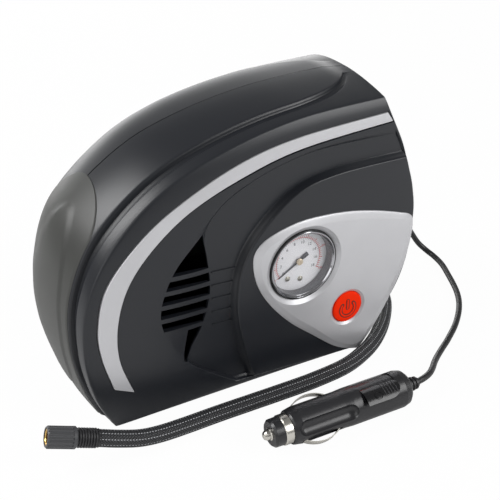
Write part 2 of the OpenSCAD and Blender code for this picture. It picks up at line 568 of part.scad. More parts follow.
module crank_shaft() color("silver") {
    bar_x(plate_x - 5, gear_x + gear_w, pump_y, crank_z, crank_shaft_r, 48);
    bar_x(plate_x - 4, plate_x - 2, pump_y, crank_z, crank_shaft_r + 1.8, 48);
}
module drive_gear() color("#e0e0d8") translate([gear_x, pump_y, crank_z]) rotate([0, 90, 0]) difference() {
    union() {
        tooth_wheel(gear_z, gear_w);
        translate([0, 0, -1]) cylinder(r = 6, h = gear_w, $fn = 48);
    }
    translate([0, 0, -3]) cylinder(r = crank_shaft_r, h = gear_w + 6, $fn = 48);
    translate([-crank_r, 0, -2]) cylinder(r = 2.5, h = gear_w + 6, $fn = 32);
    for (k = [1 : 5]) rotate([0, 0, 180 + k * 60]) translate([15, 0, -2])
        cylinder(r = 4.5, h = gear_w + 6, $fn = 32);
}
module crank_pin() color("silver") bar_x(gear_x, pin_x + pin_l, pump_y, crank_z + crank_r, 2.5, 32);
module connecting_rod() color("#d8d8dc") difference() {
    union() {
        bar_x(rod_x, rod_x + rod_w, pump_y, crank_z + crank_r, 6, 48);
        translate([rod_x, pump_y - 3.5, crank_z + crank_r]) cube([rod_w, 7, rod_l - 7]);
        translate([bore_x, pump_y, crown_z - 8]) cylinder(r1 = 5, r2 = bore_d / 2 - 0.8, h = 5.5, $fn = 48);
        translate([bore_x, pump_y, crown_z - 2.5]) cylinder(r = bore_d / 2 - 0.8, h = 0.7, $fn = 48);
    }
    bar_x(rod_x - 1, rod_x + rod_w + 1, pump_y, crank_z + crank_r, 2.6, 32);
    for (z = [18, 34]) bar_x(rod_x - 1, rod_x + rod_w + 1, pump_y, crank_z + crank_r + z, 1.6, 24);
}
module piston_seal() color("#c8b89a") translate([bore_x, pump_y, crown_z - 1.8]) difference() {
    cylinder(r = bore_d / 2 - run_gap, h = 1.8, $fn = 48);
    translate([0, 0, 0.8]) cylinder(r = bore_d / 2 - 1, h = 2, $fn = 48);
}
module seal_plate() color("silver") translate([bore_x, pump_y, crown_z - 1]) {
    cylinder(r = bore_d / 2 - 1.3, h = 0.8, $fn = 48);
}
fin_n = 6;
module pump_cylinder() color("#c4c4c8") translate([bore_x, pump_y, shelf_z + 3]) difference() {
    union() {
        cylinder(r = cyl_r - 2.4, h = cyl_h, $fn = 64);
        for (k = [0 : fin_n - 1]) translate([0, 0, k * (cyl_h - 1.2) / (fin_n - 1)])
            cylinder(r = cyl_r, h = 1.2, $fn = 64);
    }
    translate([0, 0, -1]) cylinder(r = bore_d / 2, h = cyl_h + 2, $fn = 64);
    for (q = HEAD_SCREWS) translate([q[0], q[1], -1]) cylinder(r = 1.6, h = cyl_h + 2, $fn = 16);
}
head_t = 10;
head_half = cyl_r + 2;
head_z = cyl_top;
port_z = head_z + head_t / 2;
barb_l = 8;
module cylinder_head() color("#b4b4ba") difference() {
    union() {
        translate([bore_x - head_half, pump_y - head_half, head_z])
            cube([2 * head_half, 2 * head_half, head_t]);
        bar_x(bore_x + head_half, bore_x + head_half + barb_l, pump_y, port_z, 2.4, 32);
        bar_y([bore_x - 8, port_z], 1.8, pump_y - head_half, pump_y - head_half - barb_l, 24);
    }
    for (k = [-2 : 2]) translate([bore_x + k * 5.4 - 0.9, pump_y - head_half - 1, head_z + head_t - 3])
        cube([1.8, 2 * head_half + 2, 4]);
    for (q = HEAD_SCREWS) translate([bore_x + q[0], pump_y + q[1], head_z - 1])
        cylinder(r = 1.6, h = head_t + 2, $fn = 16);
}
module head_screws() color("silver") for (q = HEAD_SCREWS)
    translate([bore_x + q[0], pump_y + q[1], shelf_z + 0.3]) {
    cylinder(r = 1.15, h = cyl_h + head_t + 3, $fn = 16);
    translate([0, 0, cyl_h + head_t + 2.7]) cylinder(r = 2.6, h = 1.8, $fn = 6);
}

// ---- leads ----
// Tube swept along p, with n sides.
module tube(p, r, n, steps) {
    path = concat([for (i = [0 : len(p) - 2], k = [0 : steps - 1])
        curve(p[max(i - 1, 0)], p[i], p[i + 1], p[min(i + 2, len(p) - 1)], k / steps)], [p[len(p) - 1]]);
    m = len(path);
    rings = [for (i = [0 : m - 1]) let (
            a = path[min(i + 1, m - 1)] - path[max(i - 1, 0)],
            run = a / norm(a),
            s = cross(run, [0.05, 0.02, 1]),
            side = s / norm(s),
            up = cross(side, run))
        [for (k = [0 : n - 1]) path[i] + r * (cos(360 * k / n) * side + sin(360 * k / n) * up)]];
    loft([for (k = [m - 1 : -1 : 0]) rings[k]], n);
}

hose_r = hose_d / 2;
cord_r = cord_d / 2;
floor_gap = 0.1;
hose_lie = hose_r + floor_gap;
cord_lie = cord_r + floor_gap;
gland_t = 8;
relief_l = 24;
chuck_at = [-120, -72.5, 15.3];
chuck_turn = [0, -15.7, 167.9];
plug_at = [76.6, -122.1, 12.6];
plug_turn = [0, 0, 178.3];
HOSE = [hose_exit + [gland_t, 0, 0], hose_exit + [gland_t + 6.5, -0.3, -0.4], [127.5, 31.2, 16],
    [134, 25.4, 13],
    [138.6, 17.4, 9.8], [141, 8, 7.2], [140.8, -1.6, 6], [138, -12, hose_lie], [132, -23.8, hose_lie],
    [123.5, -35.2, hose_lie], [110.6, -49, hose_lie], [95.7, -61, hose_lie], [80.4, -69.5, hose_lie],
    [60, -76.5, hose_lie], [33, -79, hose_lie], [8, -79, hose_lie], [-16, -78.5, hose_lie],
        [-40, -78, hose_lie],
    [-62, -78, hose_lie], [-80, -78, 6.2], [-94, -77.3, 7.9], [-107, -75.3, 11.3], chuck_at];
CORD = [cord_exit + [relief_l + 3, 0, 0], cord_exit + [relief_l + 10, 0, -0.5], [165, 28.2, 56],
    [177, 28.8, 48],
    [188, 29.5, 36], [197, 29.8, 22], [204, 28, 11], [209, 23, 5], [211, 15, cord_lie + 0.3],
        [209, 3, cord_lie],
    [204, -10.4, cord_lie], [193, -35, cord_lie], [181, -52.7, cord_lie], [164, -69.4, cord_lie],
    [146, -82.5, cord_lie], [134, -90.2, 2.6], [124, -97.2, 3.8], [115.5, -104.2, 6], [108, -111.2, 8.6],
    [100, -117.4, 10.9], [92.5, -120.9, 12.2], plug_at + [8.8, -0.3, 0]];
air_port = [bore_x + head_half + barb_l + 0.3, pump_y, port_z];
AIR = [air_port, air_port + [3, 0, 0], air_port + [6, 0, 0], [96 * kx, 12, 138 * kz],
    [98 * kx, 15, 120 * kz],
    [97 * kx, 22, 90 * kz], [91 * kx, 29, 62 * kz], hose_exit + [-24, -1, 22], hose_exit + [-30, 0, 7],
    hose_exit + [-24, 0, 0.8], hose_exit + [-12.3, 0, 0]];
gauge_port = [bore_x - 8, pump_y - head_half - barb_l - 0.3, port_z];
GAUGE = [gauge_port, gauge_port + [0, -2, 0], gauge_port + [0, -4, 0],
    [gauge_c[0] + 4, -20, gauge_c[1] + 51],
    [gauge_c[0] + 1, -21, gauge_c[1] + 31], [gauge_c[0], -19, gauge_c[1] + 16],
    [gauge_c[0], stem_end + 7.4, gauge_c[1] + 8], [gauge_c[0], stem_end + 6, gauge_c[1] + 3],
    [gauge_c[0], stem_end + 2.4, gauge_c[1]], [gauge_c[0], stem_end + 0.35, gauge_c[1]]];

module air_tube() color("#d8d4c0") tube(AIR, 3, 8, 2);
module gauge_tube() color("#d8d4c0") tube(GAUGE, 2, 8, 2);
module hose_gland() color("#18181a") translate(hose_exit) rotate([0, 90, 0]) {
    translate([0, 0, -9]) cylinder(r = gland_r - 0.1, h = 9, $fn = 48);
    rotate_extrude($fn = 48) polygon([[0, 0], [gland_r + 2, 0], [gland_r + 2, 2], [gland_r - 1, 3],
        [hose_r + 1, gland_t], [0, gland_t]]);
    translate([0, 0, -12]) cylinder(r = 2.4, h = 3.5, $fn = 32);
}
module cord_gland() color("#18181a") translate(cord_exit) rotate([0, 90, 0]) {
    translate([0, 0, -8]) cylinder(r = cord_gland_r - 0.1, h = 8, $fn = 48);
    rotate_extrude($fn = 48) polygon([[0, 0], [cord_gland_r + 1.5, 0], [cord_gland_r + 1.5, 2], [5, 3],
        [cord_r + 1.2, relief_l + 3], [0, relief_l + 3]]);
}
module air_hose() color("#1c1c1e") tube(HOSE, hose_r, 12, 2);
module power_cord() color("#161618") tube(CORD, cord_r, 8, 2);

collar_l = 13.5;
knob_l = 18.5;
knob_r = chuck_d / 2;
thread_r = 3.85;
spigot_r = 2.6;
module at_chuck() translate(chuck_at) rotate(chuck_turn) rotate([0, 90, 0]) children();
module hose_collar() color("#202022") at_chuck() union() {
    rotate_extrude($fn = 48) polygon(concat([[0, 0], [hose_r + 0.4, 0]],
        [for (k = [0 : 6]) for (q = [[0.2, 1.2], [0.9, 1.6], [0.9, 2.4],
            [0.2, 2.8]]) [hose_r + q[0] - 0.2, q[1] + k * 1.7]],
        [[hose_r - 0.2, collar_l], [0, collar_l]]));
    translate([0, 0, collar_l]) cylinder(r = spigot_r, h = knob_l - 13, $fn = 32);
}
module chuck_knob() color("#3c3c40") at_chuck() translate([0, 0, collar_l + 0.2]) difference() {
    rotate_extrude($fn = 64) polygon([[spigot_r + 0.08, 0], [knob_r - 0.8, 0], [knob_r, 0.8],
        [knob_r, knob_l - 1],
        [knob_r - 0.8, knob_l], [5.3, knob_l], [5.3, 6], [spigot_r + 0.08, 6]]);
    for (k = [0 : 17]) rotate([0, 0, k * 20]) translate([knob_r + 0.5, 0, 2.5])
        cylinder(r = 1.1, h = knob_l, $fn = 16);
}
module chuck_insert() color("#b08a3a") at_chuck() translate([0, 0, collar_l + 6.2 + 0.4])
    rotate_extrude($fn = 64)
    polygon([[thread_r, 1.4], [5.3, 1.4], [5.3, knob_l - 6.8], [4.4, knob_l - 6.8],
        [thread_r, knob_l - 7.4]]);
module chuck_seal() color("#1a1a1a") at_chuck() translate([0, 0, collar_l + 6.2 + 0.2]) difference() {
    cylinder(r = 5.2, h = 1.4, $fn = 48);
    translate([0, 0, -1]) cylinder(r = 1.4, h = 4, $fn = 24);
}

// ---- 12 V plug: x runs from the back of the grip to the tip ----
plug_r = plug_d / 2;
sleeve_r = sleeve_d / 2;
grip_r = grip_d / 2;
grip_l = 46;
insert_l = 89.8;
ring_l = 5.6;
nose_l = 7;
FLUTES = [112, 292];      // turned about the plug's axis, as the contacts and the window are
CONTACTS = [56, 236];
contact_z = 70.3;
contact_half = 13;
contact_out = 3.8;        // how far a contact bulges past the sleeve
contact_t = 0.7;
window_turn = 127;
window_a = 12.5;
window_b = 40;
window_in = 0.7;
led_turn = 150;
led_z = 30;
led_r = 2.3;
flute_r = 6.4;
flute_z = 50.3;
flute_l = 31;
module at_plug() translate(plug_at) rotate(plug_turn) rotate([0, 90, 0]) children();
module plug_relief() color("#141416") at_plug() mirror([0, 0, 1]) rotate_extrude($fn = 40) polygon(concat(
    [[0, -3], [5.1, -3], [5.1, 0.2], [5.8, 0.2], [5.8, 0.9]],
    [for (k = [0 : 2]) for (q = [[5, 1.2], [5, 2.3], [3.9, 2.5], [3.9, 3.5]]) [q[0] - k * 0.35,
        q[1] + k * 2.7]],
    [[cord_r + 0.9, 9.2], [0, 9.2]]));
module plug_body() color("#1a1a1c") at_plug() difference() {
    rotate_extrude($fn = 64) polygon([[0, 0], [6.6, 0], [grip_r - 3, 1], [grip_r - 1, 3], [grip_r, 7],
        [grip_r, grip_l], [sleeve_r, grip_l + 6], [sleeve_r, insert_l - 6], [sleeve_r - 0.9, insert_l - 1],
        [sleeve_r - 1.6, insert_l], [0, insert_l]]);
    translate([0, 0, -0.1]) cylinder(r1 = 5.4, r2 = 5.2, h = 3.2, $fn = 40);
    for (a = FLUTES) rotate([0, 0, a]) translate([sleeve_r + 2.6, 0, flute_z]) {
        cylinder(r = flute_r, h = flute_l, $fn = 40);
        sphere(r = flute_r, $fn = 40);
        translate([0, 0, flute_l]) sphere(r = flute_r, $fn = 40);
    }
    for (a = CONTACTS) rotate([0, 0, a]) translate([sleeve_r - 5, -2.9, contact_z - contact_half - 1.5])
        cube([9, 5.8, 2 * contact_half + 3]);
    rotate([0, 0, window_turn]) rotate_extrude(angle = 96, $fn = 64)
        translate([grip_r - window_in, window_a])
        square([3, window_b - window_a]);
    rotate([0, 0, led_turn]) translate([grip_r - window_in - 1.2, 0, led_z]) rotate([0, 90, 0])
        cylinder(r = led_r + 0.2, h = 4, $fn = 32);
    translate([0, 0, insert_l - 32]) cylinder(r = fuse_r + 0.3, h = 33, $fn = 32);
}
// A contact is a springy strip, bent to an arc that meets the sleeve at both ends.
contact_arc = (pow(contact_half, 2) + pow(contact_out + 0.6, 2)) / (2 * (contact_out + 0.6));
module plug_contact(a) color("#c8c4b4") at_plug() rotate([0, 0, a]) translate([0, 2.5, contact_z])
    rotate([90, 0, 0])
    linear_extrude(5) intersection() {
        translate([sleeve_r + contact_out - contact_arc, 0]) difference() {
            circle(r = contact_arc, $fn = 96);
            circle(r = contact_arc - contact_t, $fn = 96);
        }
        translate([sleeve_r - 3, -contact_half]) square([9, 2 * contact_half]);
    }
module plug_contact_front() plug_contact(CONTACTS[0]);
module plug_contact_rear() plug_contact(CONTACTS[1]);
module plug_led() color("#902020") at_plug() rotate([0, 0, led_turn])
    translate([grip_r - window_in - 1.2, 0, led_z]) rotate([0, 90, 0])
        cylinder(r = led_r, h = 0.9, $fn = 32);
module plug_ring() color("#c8c4b4") at_plug() translate([0, 0, insert_l]) rotate_extrude($fn = 64)
    polygon([[5, 0], [plug_r - 0.1, 0], [plug_r, 0.3], [plug_r, ring_l - 0.5], [plug_r - 0.5, ring_l],
        [5, ring_l]]);
nose_z = insert_l + ring_l;
module plug_nose() color("#161618") at_plug() translate([0, 0, nose_z]) rotate_extrude($fn = 64)
    polygon([[4.3, 0], [plug_r - 0.6, 0], [plug_r - 0.7, nose_l - 1.4], [plug_r - 1.9, nose_l],
        [4.3, nose_l]]);
pin_z = nose_z - 1.5;
fuse_r = 3.2;
fuse_l = 28;
module plug_pin() color("#c8c4b4") at_plug() translate([0, 0, pin_z]) rotate_extrude($fn = 40)
    polygon([[0, 0], [4.8, 0], [4.8, 1.2], [4.2, 1.2], [4.2, nose_l + 1.7], [3.4, nose_l + 2.4],
        [3.2, nose_l + 4.4], [2.4, nose_l + 5.7], [1.2, nose_l + 6.3], [0, nose_l + 6.5]]);
module plug_fuse() color("#d0d4c8") at_plug() translate([0, 0, pin_z - fuse_l])
    cylinder(r = fuse_r, h = fuse_l, $fn = 32);

module in_case() translate([cx, cy, 0]) children();

in_case() front_shell();
in_case() rear_shell();
in_case() nose_cover();
in_case() trim_strip();
in_case() control_panel();
in_case() gauge_case();
in_case() gauge_rim();
in_case() gauge_lens();
in_case() gauge_dial();
in_case() gauge_needle();
in_case() power_button();
in_case() switch_body();
in_case() case_screws();
in_case() pump_frame();
in_case() frame_screws();
in_case() motor_can();
in_case() motor_end_cap();
in_case() motor_terminals();
in_case() motor_screws();
in_case() motor_shaft();
in_case() pinion();
in_case() cooling_fan();
in_case() crank_bush();
in_case() drive_gear();
in_case() crank_shaft();
in_case() crank_pin();
in_case() connecting_rod();
in_case() piston_seal();
in_case() seal_plate();
in_case() pump_cylinder();
in_case() cylinder_head();
in_case() head_screws();
in_case() air_tube();
in_case() gauge_tube();
in_case() hose_gland();
in_case() cord_gland();
in_case() air_hose();
in_case() hose_collar();
in_case() chuck_knob();
in_case() chuck_insert();
in_case() chuck_seal();
in_case() power_cord();
in_case() plug_relief();
in_case() plug_body();
in_case() plug_contact_front();
in_case() plug_contact_rear();
in_case() plug_led();
in_case() plug_ring();
in_case() plug_nose();
in_case() plug_pin();
in_case() plug_fuse();
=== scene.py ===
import math
import bmesh
import bpy
import numpy as np
from mathutils import Matrix, Vector


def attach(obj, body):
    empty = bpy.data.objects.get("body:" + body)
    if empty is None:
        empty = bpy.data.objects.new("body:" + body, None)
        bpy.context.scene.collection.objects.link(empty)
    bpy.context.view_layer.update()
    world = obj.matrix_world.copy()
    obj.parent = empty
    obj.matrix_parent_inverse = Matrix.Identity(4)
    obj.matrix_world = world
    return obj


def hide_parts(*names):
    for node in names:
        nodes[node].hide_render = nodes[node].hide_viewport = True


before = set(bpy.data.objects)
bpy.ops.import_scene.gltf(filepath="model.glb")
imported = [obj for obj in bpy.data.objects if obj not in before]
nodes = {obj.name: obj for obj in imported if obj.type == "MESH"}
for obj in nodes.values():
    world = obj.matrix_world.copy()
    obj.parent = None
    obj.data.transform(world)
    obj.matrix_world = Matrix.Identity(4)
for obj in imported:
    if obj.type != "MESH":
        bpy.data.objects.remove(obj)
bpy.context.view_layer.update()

# ---- Camera, floor and studio ----
# The inflator stands on a sheet of white paper. The camera looks down on it from the front, over the nose
# end, and four soft lamps light it from above, from in front, from the nose end and from behind.
scene = bpy.context.scene
LOOK_AT = Vector((-0.0006, -0.04465, 0.10183))
LOOK_ALONG = Vector((0.4330, 0.7500, -0.5000))
CAMERA_DISTANCE = 0.660
LENS = 74.88
camera = bpy.data.objects.new("camera", bpy.data.cameras.new("camera"))
camera.data.lens = LENS
camera.data.sensor_width = 36.0
camera.location = LOOK_AT - LOOK_ALONG.normalized() * CAMERA_DISTANCE
camera.rotation_euler = LOOK_ALONG.to_track_quat("-Z", "Y").to_euler()
scene.collection.objects.link(camera)
scene.camera = camera
scene.view_settings.view_transform = "Standard"


def material(name):
    """A new node material: returns it, its nodes and a function that links two sockets."""
    made = bpy.data.materials.new(name)
    made.use_nodes = True
    tree = made.node_tree

    def link(a, b):
        tree.links.new(a, b)
    return made, tree.nodes, link


def mark_edges(mesh, sharp_deg, turn=True):
    """Shades faces smooth except over sharp edges, and turns the faces of a new mesh outward."""
    bm = bmesh.new()
    bm.from_mesh(mesh)
    if turn:
        bmesh.ops.recalc_face_normals(bm, faces=bm.faces)
        if bm.calc_volume(signed=True) < 0:
            bmesh.ops.reverse_faces(bm, faces=bm.faces)
    for edge in bm.edges:
        if len(edge.link_faces) == 2:
            edge.smooth = edge.calc_face_angle(0) <= math.radians(sharp_deg)
    for face in bm.faces:
        face.smooth = True
    bm.to_mesh(mesh)
    bm.free()


def mesh_piece(name, points, faces, finish, sharp_deg=38):
    """A mesh object from points in metres and faces, shaded smooth except over sharp edges."""
    mesh = bpy.data.meshes.new(name)
    mesh.from_pydata([tuple(p) for p in points], [], [tuple(f) for f in faces])
    mesh.validate()
    mark_edges(mesh, sharp_deg)
    piece = bpy.data.objects.new(name, mesh)
    scene.collection.objects.link(piece)
    if finish:
        mesh.materials.append(finish)
    return piece


LAMP_AIM = Vector((0.0, -0.02, 0.09))


def studio_lamp(name, place, size, watts):
    """A soft lamp at place, aimed at the inflator."""
    lamp = bpy.data.lights.new(name, "AREA")
    lamp.shape = "RECTANGLE"
    lamp.size, lamp.size_y = size
    lamp.energy = watts
    holder = bpy.data.objects.new(name, lamp)
    holder.location = place
    holder.rotation_euler = (LAMP_AIM - Vector(place)).to_track_quat("-Z", "Y").to_euler()
    scene.collection.objects.link(holder)


def floor_finish():
    """White paper: plain white to the camera, and it takes the inflator's shadow."""
    made, parts, link = material("studio_floor")
    shader = parts["Principled BSDF"]
    shader.inputs["Roughness"].default_value = 0.8
    shader.inputs["Specular IOR Level"].default_value = 0.1
    paper = parts.new("ShaderNodeTexNoise")
    paper.inputs["Scale"].default_value = 40
    tone = parts.new("ShaderNodeMapRange")
    tone.inputs["To Min"].default_value = 0.80
    tone.inputs["To Max"].default_value = 0.83
    link(paper.outputs["Fac"], tone.inputs["Value"])
    link(tone.outputs["Result"], shader.inputs["Base Color"])
    seen = parts.new("ShaderNodeLightPath")
    white = parts.new("ShaderNodeEmission")
    white.inputs["Strength"].default_value = 1.0
    either = parts.new("ShaderNodeMath")
    either.operation = "MAXIMUM"
    link(seen.outputs["Is Camera Ray"], either.inputs[0])
    link(seen.outputs["Is Transmission Ray"], either.inputs[1])
    share = parts.new("ShaderNodeMath")
    share.operation = "MULTIPLY"
    share.inputs[1].default_value = 0.97
    link(either.outputs[0], share.inputs[0])
    mix = parts.new("ShaderNodeMixShader")
    link(share.outputs[0], mix.inputs["Fac"])
    link(shader.outputs["BSDF"], mix.inputs[1])
    link(white.outputs["Emission"], mix.inputs[2])
    link(mix.outputs[0], parts["Material Output"].inputs["Surface"])
    return made


FLOOR_HALF, FLOOR_Z = 4, -0.0003
corners = [(x * FLOOR_HALF, y * FLOOR_HALF, FLOOR_Z) for x, y in ((-1, -1), (1, -1), (1, 1), (-1, 1))]
floor = mesh_piece("studio_floor", corners, [(0, 1, 2, 3)], floor_finish())

world = bpy.data.worlds.new("studio")
world.use_nodes = True
scene.world = world
sky = world.node_tree.nodes["Background"]
path = world.node_tree.nodes.new("ShaderNodeLightPath")
seen_white = world.node_tree.nodes.new("ShaderNodeMath")
seen_white.operation = "MAXIMUM"
world.node_tree.links.new(path.outputs["Is Camera Ray"], seen_white.inputs[0])
world.node_tree.links.new(path.outputs["Is Transmission Ray"], seen_white.inputs[1])
level = world.node_tree.nodes.new("ShaderNodeMapRange")
level.inputs["To Min"].default_value = 0.30
level.inputs["To Max"].default_value = 1.0
world.node_tree.links.new(seen_white.outputs[0], level.inputs["Value"])
world.node_tree.links.new(level.outputs["Result"], sky.inputs["Strength"])
sky.inputs["Color"].default_value = (1, 1, 1, 1)
studio_lamp("top_softbox", (-0.80, 0.32, 0.88), (0.55, 0.55), 9.0)
studio_lamp("front_softbox", (0.75, -0.95, 0.75), (0.8, 0.8), 11.0)
studio_lamp("nose_softbox", (-1.0, -0.45, 0.55), (0.5, 0.9), 2.4)
studio_lamp("back_softbox", (0.25, 1.35, 0.30), (1.8, 0.5), 9.0)


# ---- Air hose ----
# A rubber hose 11 mm across in a black woven sleeve. It is clamped in a gland low on the end wall, turns
# round the end of the case and lies along its front, where its last part lifts off the ground to the valve
# connector.
HOSE_WIDTH = 0.011
HOSE_ROUTE = [
    (0.1134, 0.03935, 0.0180), (0.1199, 0.03905, 0.0176), (0.1269, 0.03655, 0.0160),
    (0.1334, 0.03075, 0.0130), (0.1380, 0.02275, 0.0098), (0.1404, 0.01335, 0.0072),
    (0.1402, 0.00375, 0.0060), (0.1374, -0.00665, 0.0056), (0.1314, -0.01845, 0.0056),
    (0.1229, -0.02985, 0.0056), (0.1100, -0.04365, 0.0056), (0.0951, -0.05565, 0.0056),
    (0.0798, -0.06415, 0.0056), (0.0594, -0.07115, 0.0056), (0.0324, -0.07365, 0.0056),
    (0.0074, -0.07365, 0.0056), (-0.0166, -0.07315, 0.0056), (-0.0406, -0.07265, 0.0056),
    (-0.0626, -0.07265, 0.0056), (-0.0806, -0.07265, 0.0062), (-0.0946, -0.07195, 0.0079),
    (-0.1076, -0.06995, 0.0113), (-0.1206, -0.06715, 0.0153)]
LINE_STEPS = 12


def bend(a, b, c, d, t):
    """A point between b and c on the smooth line that also runs through a and d."""
    return (2 * b + (c - a) * t + (2 * a - 5 * b + 4 * c - d) * t * t
            + (3 * b - a - 3 * c + d) * t ** 3) / 2


def through(points, steps):
    """Points on a smooth line through the given ones, with a number of steps between each two."""
    line = [np.array(p, float) for p in points]
    made = []
    for i in range(len(line) - 1):
        a, b, c, d = line[max(i - 1, 0)], line[i], line[i + 1], line[min(i + 2, len(line) - 1)]
        made += [bend(a, b, c, d, k / steps) for k in range(steps)]
    made.append(line[-1])
    return made


# One unit of the weave's layout runs this far along the line.
LAY_LENGTH = 0.1


def tube(name, line, radius, sides, finish):
    """A round tube along a line, with its length and its turn round the line laid out for a weave."""
    points, faces, along = [], [], [0.0]
    for a, b in zip(line, line[1:]):
        along.append(along[-1] + float(np.linalg.norm(b - a)))
    side = np.array((0.0, 0.0, 1.0))
    for i, middle in enumerate(line):
        run = line[min(i + 1, len(line) - 1)] - line[max(i - 1, 0)]
        run = run / np.linalg.norm(run)
        side = side - run * np.dot(side, run)
        side = side / np.linalg.norm(side)
        other = np.cross(run, side)
        for k in range(sides):
            turn = 2 * math.pi * k / sides
            points.append(middle + radius * (math.cos(turn) * side + math.sin(turn) * other))
    for i in range(len(line) - 1):
        for k in range(sides):
            m = (k + 1) % sides
            faces.append((i * sides + k, i * sides + m, (i + 1) * sides + m, (i + 1) * sides + k))
    faces.append(tuple(range(sides))[::-1])
    faces.append(tuple(range((len(line) - 1) * sides, len(line) * sides)))
    piece = mesh_piece(name, points, faces, finish, sharp_deg=60)
    layer = piece.data.uv_layers.new(name="lay")
    for face in piece.data.polygons:
        ring = [piece.data.loops[i].vertex_index for i in face.loop_indices]
        last = any(v % sides == sides - 1 for v in ring) and any(v % sides == 0 for v in ring)
        for i, v in zip(face.loop_indices, ring):
            turn = v % sides
            turn = sides if last and turn == 0 else turn
            layer.data[i].uv = (turn / sides, along[v // sides] / LAY_LENGTH)
    return piece


YARNS_ROUND, YARNS_ALONG = 18.0, 52.0
# Painted glints: the number of light grey dashed lines round the hose, standing in for shine on threads that
# run along it.
GLINT_LINES = 9
# An even number that keeps the count of crossings above zero.
CROSSINGS_BEFORE = 400.0


def woven_sleeve():
    """Black threads laid in two directions round the hose, over and under; each crown is glossier and is also
    painted lighter as a painted highlight, with painted shade where the threads dip.
    """
    made, parts, link = material("woven_sleeve")
    shader = parts["Principled BSDF"]
    shader.inputs["Specular IOR Level"].default_value = 0.55
    lay = parts.new("ShaderNodeUVMap")
    lay.uv_map = "lay"
    split = parts.new("ShaderNodeSeparateXYZ")
    link(lay.outputs["UV"], split.inputs[0])

    def maths(kind, a, b=None):
        node = parts.new("ShaderNodeMath")
        node.operation = kind
        for socket, value in zip(node.inputs, (a, b)):
            if value is None:
                continue
            if isinstance(value, (int, float)):
                socket.default_value = value
            else:
                link(value, socket)
        return node.outputs[0]
    around = maths("MULTIPLY", split.outputs["X"], YARNS_ROUND)
    run = maths("MULTIPLY", split.outputs["Y"], YARNS_ALONG)
    left = maths("ADD", around, run)
    right = maths("SUBTRACT", around, run)
    crown_a = maths("ABSOLUTE", maths("SINE", maths("MULTIPLY", left, math.pi)))
    crown_b = maths("ABSOLUTE", maths("SINE", maths("MULTIPLY", right, math.pi)))
    crossing = maths("ADD", maths("FLOOR", left), maths("ADD", maths("FLOOR", right), CROSSINGS_BEFORE))
    over = maths("GREATER_THAN", maths("MODULO", crossing, 2.0), 0.5)
    height = maths("ADD", maths("MULTIPLY", crown_a, over),
                   maths("MULTIPLY", crown_b, maths("SUBTRACT", 1.0, over)))
    # Painted highlight and shade: the colour runs from near black where the threads dip to a lighter grey on
    # each crown.
    tone = parts.new("ShaderNodeValToRGB")
    tone.color_ramp.elements[0].position = 0.25
    tone.color_ramp.elements[0].color = (0.004, 0.004, 0.005, 1)
    tone.color_ramp.elements[1].position = 1.0
    tone.color_ramp.elements[1].color = (0.030, 0.031, 0.035, 1)
    link(height, tone.inputs["Fac"])
    # Painted glints: thin light grey dashed lines along the hose, in place of the shine on lengthwise
    # threads.
    stripes = maths("MULTIPLY", split.outputs["X"], 2 * math.pi * GLINT_LINES)
    dashes = maths("MULTIPLY", split.outputs["Y"], 2 * math.pi * YARNS_ALONG)
    glint_line = maths("GREATER_THAN", maths("COSINE", stripes), 0.93)
    glint_dash = maths("GREATER_THAN", maths("SINE", dashes), -0.1)
    glint_mix = parts.new("ShaderNodeMixRGB")
    glint_mix.inputs["Color2"].default_value = (0.50, 0.51, 0.53, 1)
    link(maths("MULTIPLY", glint_line, glint_dash), glint_mix.inputs["Fac"])
    link(tone.outputs["Color"], glint_mix.inputs["Color1"])
    link(glint_mix.outputs["Color"], shader.inputs["Base Color"])
    rough = parts.new("ShaderNodeMapRange")
    rough.inputs["To Min"].default_value = 0.75
    rough.inputs["To Max"].default_value = 0.42
    link(height, rough.inputs["Value"])
    link(rough.outputs["Result"], shader.inputs["Roughness"])
    bump = parts.new("ShaderNodeBump")
    bump.inputs["Strength"].default_value = 0.8
    bump.inputs["Distance"].default_value = 0.0006
    link(height, bump.inputs["Height"])
    link(bump.outputs["Normal"], shader.inputs["Normal"])
    return made


hose_line = through(HOSE_ROUTE, LINE_STEPS)
hose = tube("air_hose_sleeve", hose_line, HOSE_WIDTH / 2, 32, woven_sleeve())
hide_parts("air_hose")
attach(hose, "inflator")


# ---- Power cord ----
# A black vinyl cord 4.4 mm across. It leaves the end wall through a long tapered relief, arches down to the
# ground and runs round to the back of the plug.
CORD_WIDTH = 0.0044
CORD_ROUTE = [
    (0.1484, 0.03335, 0.0600), (0.1554, 0.03335, 0.0595), (0.1644, 0.03355, 0.0560),
    (0.1764, 0.03415, 0.0480), (0.1874, 0.03485, 0.0360), (0.1964, 0.03515, 0.0220),
    (0.2034, 0.03335, 0.0110), (0.2084, 0.02835, 0.0050), (0.2104, 0.02035, 0.0026),
    (0.2084, 0.00835, 0.0023), (0.2034, -0.00505, 0.0023), (0.1924, -0.02965, 0.0023),
    (0.1804, -0.04735, 0.0023), (0.1634, -0.06405, 0.0023), (0.1454, -0.07715, 0.0023),
    (0.1334, -0.08485, 0.0026), (0.1234, -0.09185, 0.0038), (0.1149, -0.09885, 0.0060),
    (0.1074, -0.10585, 0.0086), (0.0994, -0.11205, 0.0109), (0.0919, -0.11555, 0.0122),
    (0.0848, -0.11705, 0.0126)]


